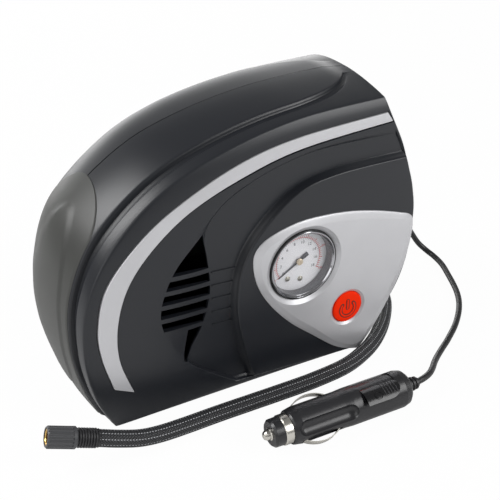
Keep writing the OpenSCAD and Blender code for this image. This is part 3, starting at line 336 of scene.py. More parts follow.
def moulded(name, colour, rough, grain=900.0, depth=0.00002, mottle=0.08, metal=0.0):
    """A moulded or painted finish: a fine grain, and a colour and a gloss that drift a little."""
    made, parts, link = material(name)
    shader = parts["Principled BSDF"]
    shader.inputs["Metallic"].default_value = metal
    place = parts.new("ShaderNodeTexCoord")
    drift = parts.new("ShaderNodeTexNoise")
    drift.inputs["Scale"].default_value = 28
    drift.inputs["Detail"].default_value = 4
    link(place.outputs["Object"], drift.inputs["Vector"])
    tone = parts.new("ShaderNodeValToRGB")
    tone.color_ramp.elements[0].position = 0.3
    tone.color_ramp.elements[0].color = (*[c * (1 - mottle) for c in colour], 1)
    tone.color_ramp.elements[1].position = 0.7
    tone.color_ramp.elements[1].color = (*[c * (1 + mottle) for c in colour], 1)
    link(drift.outputs["Fac"], tone.inputs["Fac"])
    link(tone.outputs["Color"], shader.inputs["Base Color"])
    fine = parts.new("ShaderNodeTexNoise")
    fine.inputs["Scale"].default_value = grain
    fine.inputs["Detail"].default_value = 3
    link(place.outputs["Object"], fine.inputs["Vector"])
    gloss = parts.new("ShaderNodeMapRange")
    gloss.inputs["To Min"].default_value = max(rough - 0.05, 0.02)
    gloss.inputs["To Max"].default_value = rough + 0.05
    link(fine.outputs["Fac"], gloss.inputs["Value"])
    link(gloss.outputs["Result"], shader.inputs["Roughness"])
    bump = parts.new("ShaderNodeBump")
    bump.inputs["Strength"].default_value = 0.6
    bump.inputs["Distance"].default_value = depth
    link(fine.outputs["Fac"], bump.inputs["Height"])
    link(bump.outputs["Normal"], shader.inputs["Normal"])
    return made


def dress(finish, *names):
    """Gives CAD nodes a finish in place of their plain one."""
    for name in names:
        slots = nodes[name].material_slots
        if not slots:
            nodes[name].data.materials.append(finish)
        for one in slots:
            one.material = finish


vinyl = moulded("cord_vinyl", (0.012, 0.012, 0.013), 0.38, grain=1400, mottle=0.15)
cord_line = through(CORD_ROUTE, LINE_STEPS)
cord = tube("power_cord_sheath", cord_line, CORD_WIDTH / 2, 20, vinyl)
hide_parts("power_cord")
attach(cord, "inflator")

# ---- Case: outlines of the housing ----
# The housing is moulded in charcoal ABS in two halves that meet on a seam round the middle. Its outline is a
# low nose, a long arched top and an end wall that leans in towards the ground.
CASE_AT = np.array((-0.6, 5.35, 0.0))
NOSE_STEPS, END_STEPS, BASE_STEPS = 16, 8, 32
HALF_DEEP = 50.0
WALL = 2.5
CENTRE = np.array((20.0, 85.0))
OUTLINES = {
    "rim": (
        [(-99.5, 0), (-111, 26), (-116, 60), (-111.5, 95), (-93, 128), (-61, 156), (-18, 174), (35, 184.5),
         (98.5, 186)],
        [(98.5, 186), (110, 160), (120.6, 128), (124.8, 98), (121.3, 64), (109.2, 36), (82, 0)]),
    "seam": (
        [(-104, 0), (-113.5, 26), (-121, 60), (-120, 95), (-105, 133.5), (-66, 165.2), (-23.6, 181),
         (32, 189.8), (101, 191.2)],
        [(101, 191.2), (113.5, 164), (122.6, 130), (126, 98), (122, 64), (110, 36), (82, 0)]),
    "back": (
        [(-78, 2), (-86.5, 28), (-91.5, 56), (-85, 87), (-65, 113), (-38, 136), (-6, 152.5), (38, 162.5),
         (90, 166)],
        [(90, 166), (97, 142), (102, 118), (104, 95), (100, 68), (90, 42), (62, 2)]),
    "crest": (
        [(-14, 6.5), (-46.5, 32.5), (-63, 58), (-66, 80), (-55, 108), (-35, 130.5), (-9.5, 150), (40, 163.2),
         (105, 165.6)],
        [(105, 165.6), (112.8, 152), (120.6, 126), (124.6, 98), (121.1, 64), (109, 36), (81.8, 0.8)]),
    "edge": (
        [(-12, 7.2), (-44.5, 31.6), (-44, 45.5), (-31.5, 70), (-30.2, 92), (-32, 126), (-7.5, 147.2),
         (40, 160.6), (107, 160)],
        [(107, 160), (114.8, 144.5), (121.4, 123), (124.5, 98), (121, 64), (108.9, 36), (81.7, 1.3)]),
    "foot": (
        [(-4, 7.5), (-8.5, 22), (-15, 50), (-16.2, 76), (-11, 98), (3, 119.5), (28, 138.5), (60, 146),
         (113.5, 146.6)],
        [(113.5, 146.6), (116.6, 138.6), (122, 121), (124.5, 98), (121, 64), (108.9, 36), (81.7, 1.6)]),
    "pod": (
        [(-0.7, 8), (-5.2, 21), (-12.1, 51), (-13.3, 75), (-8.8, 97.5), (4.4, 117.2), (30, 137.5),
         (60, 143.9), (114.6, 143.6)],
        [(114.6, 143.6), (117.4, 135), (121.9, 119), (124.4, 98), (120.9, 64), (108.8, 36), (81.5, 2.6)])}


def outline(nose, end):
    """One closed line round the case: up the nose, over the top, down the end and back along the base."""
    base = [np.array(end[-1]) + (np.array(nose[0]) - end[-1]) * k / BASE_STEPS for k in range(BASE_STEPS)]
    return np.array(through(nose, NOSE_STEPS)[:-1] + through(end, END_STEPS)[:-1] + base)


RING = {name: outline(*both) for name, both in OUTLINES.items()}
# Where each point lies round the case: from 0 up the nose and over the top, then down the end wall, then back
# along the base.
TOP_END, WALL_END, BASE_END = 40, 58, 66
ROUND = np.concatenate([np.arange(8 * NOSE_STEPS) * 5 / NOSE_STEPS,
                        TOP_END + np.arange(6 * END_STEPS) * 3 / END_STEPS,
                        WALL_END + np.arange(BASE_STEPS) * 8 / BASE_STEPS])


def drawn_in(ring, depth, middle=CENTRE):
    """An outline moved towards its middle."""
    inward = middle - ring
    return ring + inward * (depth / np.linalg.norm(inward, axis=1))[:, None]


def at_depth(ring, y):
    """A flat line stood up at depth y, or at a depth for each point, and held above the ground."""
    return np.column_stack((ring[:, 0], np.broadcast_to(y, len(ring)), np.maximum(ring[:, 1], 0.0)))


def to_frame(points):
    """Millimetres from the seam plane and the ground to metres in the model's frame."""
    return (np.asarray(points, float) + CASE_AT) * 0.001


def lofted(name, rings, finish, sharp_deg=32):
    """A closed skin through rings of equal length, with a fan over the first and the last."""
    count = len(rings[0])
    points = np.concatenate(rings + [[rings[0].mean(axis=0)], [rings[-1].mean(axis=0)]])
    faces = []
    for j in range(len(rings) - 1):
        for i in range(count):
            k = (i + 1) % count
            faces.append((j * count + i, j * count + k, (j + 1) * count + k, (j + 1) * count + i))
    last = (len(rings) - 1) * count
    for i in range(count):
        k = (i + 1) % count
        faces.append((k, i, len(points) - 2))
        faces.append((last + i, last + k, len(points) - 1))
    return mesh_piece(name, to_frame(points), faces, finish, sharp_deg=sharp_deg)


def prism(name, flat, y_front, y_back):
    """A flat outline in x and z, pushed from one depth to another."""
    flat = np.array(flat)
    return lofted(name, [at_depth(flat, y_front), at_depth(flat, y_back)], None)


def ring_at(middle, radius, place, sides=96, axis=1):
    """A circle round y, or round x, at a place along that axis."""
    turn = np.arange(sides) * 2 * math.pi / sides
    a, b = middle[0] + radius * np.cos(turn), middle[1] + radius * np.sin(turn)
    along = np.full(sides, place)
    return np.column_stack((a, along, b) if axis == 1 else (along, a, b))


def bar(name, middle, radius, start, end, axis=1):
    """A round bar along y, or along x, between two places."""
    return lofted(name, [ring_at(middle, radius, e, 64, axis) for e in (start, end)], None)


def turned(name, middle, profile, finish, axis=1, sides=64, sharp_deg=32):
    """A ring turned about y or x: the profile is a closed line of radii and depths."""
    turn = np.arange(sides) * 2 * math.pi / sides
    points, faces, count = [], [], len(profile)
    for t in turn:
        for radius, depth in profile:
            a, b = middle[0] + radius * math.cos(t), middle[1] + radius * math.sin(t)
            points.append((a, depth, b) if axis == 1 else (depth, a, b))
    for i in range(sides):
        k = (i + 1) % sides
        for j in range(count):
            m = (j + 1) % count
            faces.append((i * count + j, k * count + j, k * count + m, i * count + m))
    return mesh_piece(name, to_frame(points), faces, finish, sharp_deg=sharp_deg)


def joined(piece, others):
    """Takes the meshes of other pieces of the same moulding into one."""
    bm = bmesh.new()
    bm.from_mesh(piece.data)
    for other in others:
        bm.from_mesh(other.data)
        bpy.data.objects.remove(other)
    bm.to_mesh(piece.data)
    bm.free()


def carved(piece, tools, kind="DIFFERENCE", sharp_deg=32):
    """Takes each tool's volume out of a piece, or joins it on, and uses the tools up."""
    for tool in tools:
        step = piece.modifiers.new(tool.name, "BOOLEAN")
        step.object = tool
        step.operation = kind
        step.solver = "MANIFOLD"
    bpy.context.view_layer.update()
    mesh = bpy.data.meshes.new_from_object(piece.evaluated_get(bpy.context.evaluated_depsgraph_get()))
    finish = piece.data.materials[0] if piece.data.materials else None
    piece.modifiers.clear()
    piece.data = mesh
    mesh.materials.clear()
    if finish:
        mesh.materials.append(finish)
    for face in mesh.polygons:
        face.material_index = 0
    for tool in tools:
        bpy.data.objects.remove(tool)
    mark_edges(mesh, sharp_deg, turn=False)
    return piece


# ---- Case: the skin on both sides of the seam ----
# A raised band, the spine, runs over the nose and the top. It is 37 mm wide on the front half and narrower on
# the rear one, with a groove along its front foot that is crisp at the nose and fades towards the end wall.
SPINE_HALF = 37.0
REAR_SHARE = 0.8
SPINE_END = 39.0
BAND = 8.0
SPINE_HIGH = 1.6
BULGE = 1.7
SPINE_FRONT = ((0, 1.6), (0.96, 1.6), (0.985, 1.4), (1.0, 0.7), (1.01, -0.8), (1.03, -2.2), (1.1, -2.4),
               (1.24, -2.0), (1.31, -0.5), (1.33, -0.1), (1.35, 0.05), (1.5, 0.2), (1.75, 0.3), (1.96, 0.2),
               (2.0, 0))
SPINE_REAR = ((0, 1.6), (0.95, 1.6), (0.975, 1.4), (0.99, 0.9), (1.0, 0.35), (1.02, 0), (2.0, 0))
ahead = np.roll(RING["seam"], -1, axis=0) - np.roll(RING["seam"], 1, axis=0)
ahead /= np.linalg.norm(ahead, axis=1)[:, None]
OUTWARD = np.column_stack((-ahead[:, 1], ahead[:, 0]))
SPINE_WIDE = SPINE_HALF * np.sqrt(1 - (np.clip(ROUND - 35.0, 0, 4.0) / 4.25) ** 2)
ON_SPINE = np.interp(ROUND, (0, 0.6, SPINE_END - 0.6, SPINE_END + 0.3, BASE_END), (0, 1, 1, 0, 0))
CRISP = np.interp(ROUND, (0, 22, 38, BASE_END), (1, 1, 0.35, 0.35))
SHOULDER = np.where(ROUND < TOP_END, BULGE + 1.3 * (np.minimum(ROUND, 30) / 30) ** 2, 3.0)


def front_ring(share):
    """The front half's outline at a share of the way from the seam to the rim."""
    return RING["rim"] + (RING["seam"] - RING["rim"]) * np.reshape(1 - share ** BULGE, (-1, 1))


def rear_ring(share):
    """The rear half's outline at a share of the way from the seam to the back."""
    mix = 1 - np.maximum(0, 1 - share ** SHOULDER) ** (1 / SHOULDER)
    return RING["seam"] + (RING["back"] - RING["seam"]) * mix[:, None]


def skin(side, s, sunk=0.0):
    """The outer skin's ring at s: 0 at the seam, 1 at the spine's foot, 1.5 past the groove, 2 at the rim."""
    wide = SPINE_WIDE * (1 if side < 0 else REAR_SHARE)
    if s <= 1:
        y = wide * s
    elif s <= 1.5:
        y = wide + 2 * BAND * (s - 1)
    else:
        y = wide + BAND + (HALF_DEEP - wide - BAND) * (s - 1.5) * 2
    share = np.clip(y / HALF_DEEP, 0, 1)
    if side < 0:
        ring = front_ring(share)
        lift = float(np.interp(s, *zip(*SPINE_FRONT)))
        lift = lift * ON_SPINE * (CRISP if lift < 0 else 1)
    else:
        ring = rear_ring(share)
        lift = float(np.interp(s, *zip(*SPINE_REAR))) * ON_SPINE
    return at_depth(ring + OUTWARD * (lift - sunk)[:, None], side * y)


def between(a, b, share):
    """The ring at a share of the way from one outline to another."""
    return RING[a] + (RING[b] - RING[a]) * share


NEAR_SPINE = (0.93, 0.96, 0.972, 0.985, 0.993, 1.0, 1.005, 1.01, 1.02, 1.03, 1.06, 1.1, 1.17, 1.24, 1.28,
              1.31, 1.33, 1.35, 1.4, 1.45, 1.5)
SEAM_GAP = 0.16
SEAM_BEVEL = 0.8


def seam_rings(side):
    """The small bevel on each half where the two meet."""
    sunk, edge = skin(side, 0, SEAM_BEVEL), skin(side, 0)
    sunk[:, 1], edge[:, 1] = side * SEAM_GAP, side * (SEAM_GAP + 0.3)
    return [sunk, edge]


# ---- Front half of the case ----
# The face falls from the rim over the strip's seat to a rounded crest, into a shallow bowl, and rises again
# as the round pod that carries the panel. A louvred vent is cut beside the pod, with five short ribs on the
# bowl's floor.
CREST_Y, FLOOR_Y, POD_Y = -55.0, -52.2, -58.0
FALL = ((0, 0), (0.008, 0.35), (0.03, 0.72), (0.06, 1.05), (0.12, 1.6), (0.2, 2.25), (0.3, 2.9), (0.42, 3.5),
        (0.55, 4.05), (0.7, 4.5), (0.85, 4.85), (1, 5))
BASE_Y = CREST_Y + 1.5
floor_at = FLOOR_Y + (CREST_Y - FLOOR_Y) * np.clip((ROUND - 35) / 10, 0, 1)
floor_at = np.where(ROUND < WALL_END, floor_at, BASE_Y)
floor_at = np.where(ROUND < 1, BASE_Y + (FLOOR_Y - BASE_Y) * ROUND, floor_at)
GAUGE_AT, GAUGE_BORE = (35.0, 85.0), 25.3
BUTTON_AT, BUTTON_BORE = (71.3, 41.3), 12.0
VENT = [(-35.6, 125), (-53.4, 107.5), (-63, 90), (-66.3, 74), (-63, 58.5), (-57.5, 46.5), (-49.9, 35.6),
        (-44, 45.5), (-36, 59.5), (-30.8, 79), (-30.4, 92), (-32.6, 111)]
VENT_CORNER = [(-80, 66), (-47, 60), (-51.5, 38), (-52, 20), (-80, 20)]
BORE_DEEP = -20
SLATS, SLAT_PITCH, SLAT_THICK, SLAT_LONG = 5, 9.7, 3.1, 62
SLAT_AT = np.array((-60.0, 63.0))
SLAT_FALL = math.radians(5.6)
RIB_AT = np.array((-29.0, 56.0))
RIB_LONG, RIB_THICK = 17.0, 0.9


def front_rings():
    """The front half's rings: its inner wall out to the seam, then its skin from the seam in."""
    outer = seam_rings(-1) + [skin(-1, k / 10) for k in range(1, 10)] + [skin(-1, s) for s in NEAR_SPINE]
    outer += [skin(-1, s) for s in (1.55, 1.6, 1.68, 1.75, 1.83, 1.9, 1.95, 1.985)]
    outer += [at_depth(between("rim", "crest", f), -HALF_DEEP - fall) for f, fall in FALL]
    for g in (0.15, 0.3, 0.5, 0.7, 0.85, 1.0):
        sink = 1 - math.cos(g * math.pi / 2)
        outer.append(at_depth(between("crest", "edge", g), CREST_Y + (floor_at - CREST_Y) * sink))
    outer += [at_depth(between("edge", "foot", g), floor_at) for g in (0.05, 0.35, 0.65, 0.93, 1.0)]
    for g, rise in ((0.12, 0.06), (0.3, 0.25), (0.7, 0.6), (1.0, 0.8)):
        outer.append(at_depth(between("foot", "pod", g), floor_at + (POD_Y - floor_at) * rise))
    for d, up in ((0.2, 0.5), (0.5, 0.2), (1.0, 0.03), (1.6, 0)):
        outer.append(at_depth(drawn_in(RING["pod"], d), POD_Y + up))
    outer += [at_depth(drawn_in(RING["pod"], 14), POD_Y)]
    inner = [at_depth(drawn_in(RING["foot"], WALL + 3), FLOOR_Y + WALL),
             at_depth(drawn_in(RING["crest"], WALL + 1.5), CREST_Y + WALL + 1.5),
             at_depth(drawn_in(RING["rim"], WALL + 1.5), 1 - HALF_DEEP),
             at_depth(drawn_in(front_ring(0.5), WALL + 0.6), -HALF_DEEP / 2),
             at_depth(drawn_in(RING["seam"], WALL), -SEAM_GAP)]
    return inner + outer


def tilted_box(start, long, thick, fall):
    """A thin bar seen from the front: its top left corner, its length, its thickness and its fall."""
    along = np.array((math.cos(fall), -math.sin(fall)))
    down = np.array((-math.sin(fall), -math.cos(fall)))
    return [start, start + along * long, start + along * long + down * thick, start + down * thick]


STRIP_OUT = [(-99.6, 31), (-106, 56), (-107, 78), (-100, 104), (-80.5, 127), (-54, 146), (-12, 164.5),
             (32, 173.5), (100, 176.5)]
STRIP_IN = [(-86.5, 25), (-94.5, 52), (-94, 78), (-85.5, 103), (-68, 124), (-42, 142.5), (-5, 156.5),
            (36, 165.5), (104, 169.5)]


def strip_band(name, finish, gap, proud, deep, soft=0.0):
    """The band between the strip's two edges, grown by a gap, from proud of the face to deep under it."""
    out, inside = np.array(through(STRIP_OUT, LINE_STEPS)), np.array(through(STRIP_IN, LINE_STEPS))
    across = inside - out
    across /= np.linalg.norm(across, axis=1)[:, None]
    ahead = np.gradient(out, axis=0)
    ahead /= np.linalg.norm(ahead, axis=1)[:, None]
    reach = np.zeros(len(out))
    reach[0], reach[-1] = -gap, gap
    out = out - across * gap + ahead * reach[:, None]
    inside = inside + across * gap + ahead * reach[:, None]
    y_out, y_in = CREST_Y + 2.4, CREST_Y + 1.0
    low, high = at_depth(out, y_out + deep), at_depth(out, y_out - proud)
    low_in, high_in = at_depth(inside, y_in + deep), at_depth(inside, y_in - proud)
    rings = []
    for i in range(len(out)):
        if soft:
            step = (high_in[i] - high[i]) / np.linalg.norm(high_in[i] - high[i]) * soft
            back = np.array((0, soft, 0))
            crown = (high[i] + high_in[i]) / 2 - back * 0.3
            rings.append(np.array([low[i], high[i] + back, high[i] + step, crown, high_in[i] - step,
                                   high_in[i] + back, low_in[i]]))
        else:
            rings.append(np.array([low[i], high[i], high_in[i], low_in[i]]))
    return lofted(name, rings, finish)


case_finish = moulded("case_charcoal", (0.0105, 0.0120, 0.0160), 0.36, grain=2600, depth=0.000025,
                      mottle=0.04)
front = lofted("front_housing", front_rings(), case_finish)
vent = prism("vent_opening", through(VENT + VENT[:1], 6)[:-1], -HALF_DEEP + 6, CREST_Y - 3)
solid, ribs = [], []
for k in range(SLATS):
    slat = tilted_box(SLAT_AT + (-20, SLAT_PITCH * k + 2), SLAT_LONG, SLAT_THICK, SLAT_FALL)
    rib = tilted_box(RIB_AT + (0, SLAT_PITCH * k + RIB_THICK), RIB_LONG, RIB_THICK, SLAT_FALL / 1.4)
    solid.append(prism(f"slat_{k}", slat, -HALF_DEEP + 5, CREST_Y - 4))
    ribs.append(prism(f"rib_{k}", rib, FLOOR_Y + 1.5, FLOOR_Y - 1.0))
solid.append(prism("vent_corner", VENT_CORNER, -HALF_DEEP + 5, CREST_Y - 4))
vent = carved(vent, solid)
front = carved(front, ribs, "UNION")
front = carved(front, [vent, strip_band("strip_seat", None, 0.3, 3.0, 2.2),
                       bar("gauge_bore", GAUGE_AT, GAUGE_BORE, BORE_DEEP, POD_Y - 5),
                       bar("button_bore", BUTTON_AT, BUTTON_BORE, BORE_DEEP, POD_Y - 5)])
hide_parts("front_shell")
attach(front, "inflator")


# ---- Rear half of the case ----
# The rear half carries the screw pillars, the glands of both leads and twelve slots that let the pump's heat
# out. It is moulded in the same charcoal ABS, and six screws draw it to the front half.
SCREWS = [(-76, 46), (-50, 114), (24, 148), (-50, 18), (88, 118), (60, 16)]
PILLAR, SCREW_SEAT, SCREW_BORE, SEAT_Y = 4.0, 3.2, 1.9, 14
# Both holes for the leads: the middle in y and z, the place along x and the radius.
HOSE_HOLE, CORD_HOLE = ((34, 18), 106, 9.0), ((28, 60), 122, 6.5)
SLOT_AT, SLOT_LONG, SLOT_HIGH = (-58, 62), 18, 3
SLOT_ROWS, SLOT_COLUMNS, SLOT_ROW_PITCH, SLOT_COLUMN_PITCH = 6, 2, 8, 24


def rear_rings():
    """The rear half's rings: its skin from the back to the seam, then its inner wall."""
    tips = [0, 0.0008, 0.003, 0.007, 0.013, 0.02, 0.03, 0.045, 0.065, 0.09, 0.12, 0.16, 0.2, 0.26, 0.33, 0.4,
            0.45]
    outer = [skin(1, 2 - t) for t in tips] + [skin(1, s) for s in NEAR_SPINE[::-1] if s < 1.03 or s > 1.3]
    outer += [skin(1, k / 10) for k in range(9, 0, -1)] + seam_rings(1)[::-1]
    inner = []
    for t in (0, 0.35, 0.6, 0.8, 0.92, 0.985):
        ring = rear_ring(t)
        ring = np.column_stack((ring[:, 0], np.maximum(ring[:, 1], 0)))
        ring = drawn_in(ring, WALL + (3 if t > 0.95 else 0))
        inner.append(at_depth(ring, max(t * (HALF_DEEP - WALL), SEAM_GAP)))
    return outer + inner


rear = lofted("rear_housing", rear_rings(), case_finish)
slots = []
for k in range(SLOT_ROWS):
    for m in range(SLOT_COLUMNS):
        left, low = SLOT_AT[0] + SLOT_COLUMN_PITCH * m, SLOT_AT[1] + SLOT_ROW_PITCH * k
        right, high = left + SLOT_LONG, low + SLOT_HIGH
        slot = [(left, low), (right, low), (right, high), (left, high)]
        slots.append(prism(f"slot_{k}_{m}", slot, HALF_DEEP - 12, HALF_DEEP + 8))
seats = [bar(f"seat_{k}", s, SCREW_SEAT, HALF_DEEP - 6, HALF_DEEP + 5) for k, s in enumerate(SCREWS)]
holes = []
for name, (middle, x, radius), long in (("hose_hole", HOSE_HOLE, 20), ("cord_hole", CORD_HOLE, 8)):
    holes.append(bar(name, middle, radius, x - long, x + 14, axis=0))
for tool in slots + seats + holes:
    rear = carved(rear, [tool])
pillar = ((PILLAR, SEAM_GAP), (PILLAR, HALF_DEEP - 1), (SCREW_SEAT, HALF_DEEP - 1), (SCREW_SEAT, SEAT_Y),
          (SCREW_BORE, SEAT_Y), (SCREW_BORE, SEAM_GAP))
pillars = [turned(f"pillar_{k}", s, pillar, case_finish, sides=32) for k, s in enumerate(SCREWS)]
collars = []
for k, ((middle, x, radius), long) in enumerate(((HOSE_HOLE, 22), (CORD_HOLE, 10))):
    collar = ((radius + WALL, x - long), (radius + WALL, x), (radius, x), (radius, x - long))
    collars.append(turned(f"collar_{k}", middle, collar, case_finish, axis=0))
joined(rear, pillars + collars)
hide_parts("rear_shell")
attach(rear, "inflator")

# ---- Trim strip ----
# A strip of silver-painted ABS with soft edges. It is snapped into a seat that follows the rim over the nose
# and the top, and stands a little proud of the face.
silver = moulded("silver_paint", (0.58, 0.58, 0.60), 0.36, grain=3200, depth=0.00001, mottle=0.03, metal=0.45)
strip = strip_band("silver_strip", silver, -0.35, 0.6, 2.0, soft=0.35)
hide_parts("trim_strip")
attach(strip, "inflator")

# ---- Nose cover ----
# A cover of smoky grey plastic is clipped over the spine at the nose. It has a round top end and a
# softly raised oval pad on its front, where the hand holds the case.
COVER_GAP, COVER_THICK, COVER_IN = 0.10, 0.85, 1.2
COVER_BEND, COVER_TOP = 19.4, 22.8
PAD_MID, PAD_LONG = 12.0, 8.9
PAD_SIDE, PAD_WIDE, PAD_HIGH = -7.0, 21.0, 0.9
FIELD_SUNK, EDGE_DROP = 0.3, 0.55


def skin_point(i, y, lift):
    """A point of the skin at any place i round the case and any depth y, lifted off it."""
    side = -1 if y < 0 else 1
    share = abs(y) / HALF_DEEP

    def at(ring):
        return np.array((np.interp(i, ROUND, ring[:, 0]), np.interp(i, ROUND, ring[:, 1])))
    if side < 0:
        q = at(RING["rim"]) + (at(RING["seam"]) - at(RING["rim"])) * (1 - share ** BULGE)
    else:
        power = np.interp(i, ROUND, SHOULDER)
        mix = 1 - max(0, 1 - share ** power) ** (1 / power)
        q = at(RING["seam"]) + (at(RING["back"]) - at(RING["seam"])) * mix
    q = q + at(OUTWARD) * lift
    return q[0], y, max(q[1], 0.0)


def nose_cover():
    """One ring round the cover's section at each place up the nose."""
    places = [1 + k * (COVER_BEND - 1) / 90 for k in range(90)]
    places += [COVER_BEND + (COVER_TOP - COVER_BEND) * math.sin(math.radians(a)) for a in range(0, 89, 4)]
    low = SPINE_HIGH + COVER_GAP
    top = low + COVER_THICK
    rings = []
    for i in places:
        bend = max(0.0, (i - COVER_BEND) / (COVER_TOP - COVER_BEND))
        half = (SPINE_HALF - COVER_IN) * math.sqrt(max(0.0015, 1 - bend * bend))
        wide = [half * REAR_SHARE * f for f in (1, 0.985, 0.95, 0.85, 0.7, 0.55, 0.4, 0.25, 0.1)]
        wide += [-half * f for f in [k / 30 for k in range(0, 29)] + [0.95, 0.97, 0.985, 1]]
        edge = min(1.0, half / 5)
        ring = []
        for n, y in enumerate(wide):
            reach = abs(y) / (half * (REAR_SHARE if y > 0 else 1))
            drop = EDGE_DROP * edge * max(0.0, (reach - 0.95) / 0.05) ** 2
            oval = math.hypot((i - PAD_MID) / PAD_LONG, (y - PAD_SIDE) / PAD_WIDE)
            rise = min(1.0, max(0.0, (1.03 - oval) / 0.08))
            pad = PAD_HIGH * rise * rise * (3 - 2 * rise)
            ring.append(skin_point(i, y, top - drop - FIELD_SUNK + pad))
        ring += [skin_point(i, y, low) for y in (wide[-1], wide[-8], wide[-20], wide[9], wide[4], wide[0])]
        rings.append(np.array(ring))
    return rings


smoky = moulded("smoky_nose", (0.040, 0.041, 0.038), 0.44, grain=1800, depth=0.00002, mottle=0.10)
cover = lofted("nose_guard", nose_cover(), smoky, sharp_deg=40)
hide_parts("nose_cover")
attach(cover, "inflator")

# ---- Control panel ----
# A rounded triangular panel of silver-painted ABS on the pod. Its edge has a soft bevel, broad along the top
# and round the gauge, and both openings have a polished chamfer.
PANEL = [(121.4, 98.8), (111.5, 103.3), (90.3, 110.2), (70, 114.9), (50.4, 117.2), (31.4, 117.4),
         (12.9, 113.5), (2, 107.6), (-2.5, 98), (0.3, 80.4), (9.8, 62.1), (25.6, 43.1), (44.1, 26.6),
         (63.4, 10.4), (78.7, 3.2), (86.2, 4.6), (101, 24.6), (115.6, 52.6), (122, 74.9), (123.8, 91)]
PANEL_Y, PANEL_MID = -60.5, np.array((60.0, 65.0))


def closed_line(points, steps):
    """A smooth closed line through points."""
    count = len(points)
    p = [np.array(q, float) for q in points]
    made = []
    for i in range(count):
        a, b, c, d = p[i - 1], p[i], p[(i + 1) % count], p[(i + 2) % count]
        made += [bend(a, b, c, d, k / steps) for k in range(steps)]
    return np.array(made)


def panel_rings():
    """The panel's rings: its hidden side, its edge, the soft bevel and the flat face."""
    edge = closed_line(PANEL, 8)
    rings = [at_depth(drawn_in(edge, 20, PANEL_MID), POD_Y), at_depth(edge, POD_Y)]
    bevel = ((0, 0.45), (0.2, 0.75), (0.6, 0.95), (2.0, 1.42), (4.0, 2.05), (5.0, 2.36), (5.3, 2.45),
             (5.7, 2.5))
    rings += [at_depth(drawn_in(edge, d, PANEL_MID), POD_Y - up) for d, up in bevel]
    return rings + [at_depth(drawn_in(edge, 30, PANEL_MID), PANEL_Y)]


def chamfered(name, middle, bore, flare, deep):
    """The tool for a round opening with a chamfer: a bar with a cone on its front end."""
    wide = bore + flare
    steps = ((bore, POD_Y + 3), (bore, PANEL_Y + deep), (wide, PANEL_Y), (wide, PANEL_Y - 3))
    return lofted(name, [ring_at(middle, radius, y) for radius, y in steps], None)


panel = lofted("silver_panel", panel_rings(), silver, sharp_deg=30)
openings = [chamfered("gauge_opening", GAUGE_AT, GAUGE_BORE, 3.4, 2.0),
            chamfered("button_opening", BUTTON_AT, BUTTON_BORE, 2.0, 1.2)]
panel = carved(panel, openings, sharp_deg=25)
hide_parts("control_panel")
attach(panel, "inflator")

# ---- Pressure gauge ----
# A round gauge behind a clear lens, held by a black bezel with a chromed inner ring. Its white dial carries a
# grey scale and an outer red one, and two small screws; the needle turns on a brass hub.
DIAL_Y, SCALE_START, SCALE_SWEEP = -52.5, 211.0, 242.0
DIAL_R = 22.2
# Half sections of the round pieces, as radii and depths.
BEZEL_PROFILE = ((25.1, -58), (25.1, -59.7), (24.9, -59.9), (24.6, -59.9), (24.4, -59.7), (24.4, -58))
CHROME_PROFILE = ((24.3, -57.5), (24.3, -59.9), (24.0, -60.2), (23.5, -60.2), (23.2, -59.9), (22.9, -59.2),
                  (22.6, -58.9), (22.6, -57.5))
WALL_PROFILE = ((22.6, -58.8), (22.2, -58.6), (21.6, -53.0), (22.6, -53.0))
HUB_PROFILE = ((2.3, 1.5), (2.3, 2.6), (1.9, 2.9), (0.7, 2.9), (0.6, 2.6))
SCREW_PROFILE = ((1.9, 0), (1.9, 0.5), (1.5, 0.9), (0.7, 1.0))
SCREWS_RADIUS, SCREWS_MIDDLE, SCREWS_APART = 14.2, 256, 21
GREY_MARKS, GREY_RADIUS, GREY_HIGH = 10, 13.3, 3.0
RED_MARKS, RED_RADIUS, RED_HIGH = 6, 20.4, 2.0
RED_TICKS, GREY_TICKS = 50, 45


def on_dial(radius, degrees):
    """A point on the dial at a distance and an angle from the needle's axis."""
    return np.array((GAUGE_AT[0] + radius * math.cos(math.radians(degrees)),
                     GAUGE_AT[1] + radius * math.sin(math.radians(degrees))))


def printed(name, shapes, y, finish, thick=0.06):
    """Flat shapes laid on a face that looks forward, as ink or a thin raised line."""
    points, faces = [], []
    for shape in shapes:
        start, count = len(points), len(shape)
        points += [(p[0], y - thick, p[1]) for p in shape] + [(p[0], y, p[1]) for p in shape]
        faces.append(tuple(range(start, start + count)))
        faces.append(tuple(range(start + count, start + 2 * count))[::-1])
        faces += [(start + k, start + (k + 1) % count, start + count + (k + 1) % count, start + count + k)
                  for k in range(count)]
    return mesh_piece(name, to_frame(points), faces, finish)


def tick(degrees, near, far, wide):
    """One mark of a scale, from near to far."""
    a, b = on_dial(near, degrees), on_dial(far, degrees)
    side = np.array((-(b - a)[1], (b - a)[0])) / np.linalg.norm(b - a) * wide / 2
    return [a - side, b - side, b + side, a + side]


def arc_line(radius, wide, steps=72):
    """The thin line that the marks stand on."""
    angles = [SCALE_START - SCALE_SWEEP * k / steps for k in range(steps + 1)]
    return [[on_dial(radius, a), on_dial(radius + wide, a), on_dial(radius + wide, b), on_dial(radius, b)]
            for a, b in zip(angles, angles[1:])]


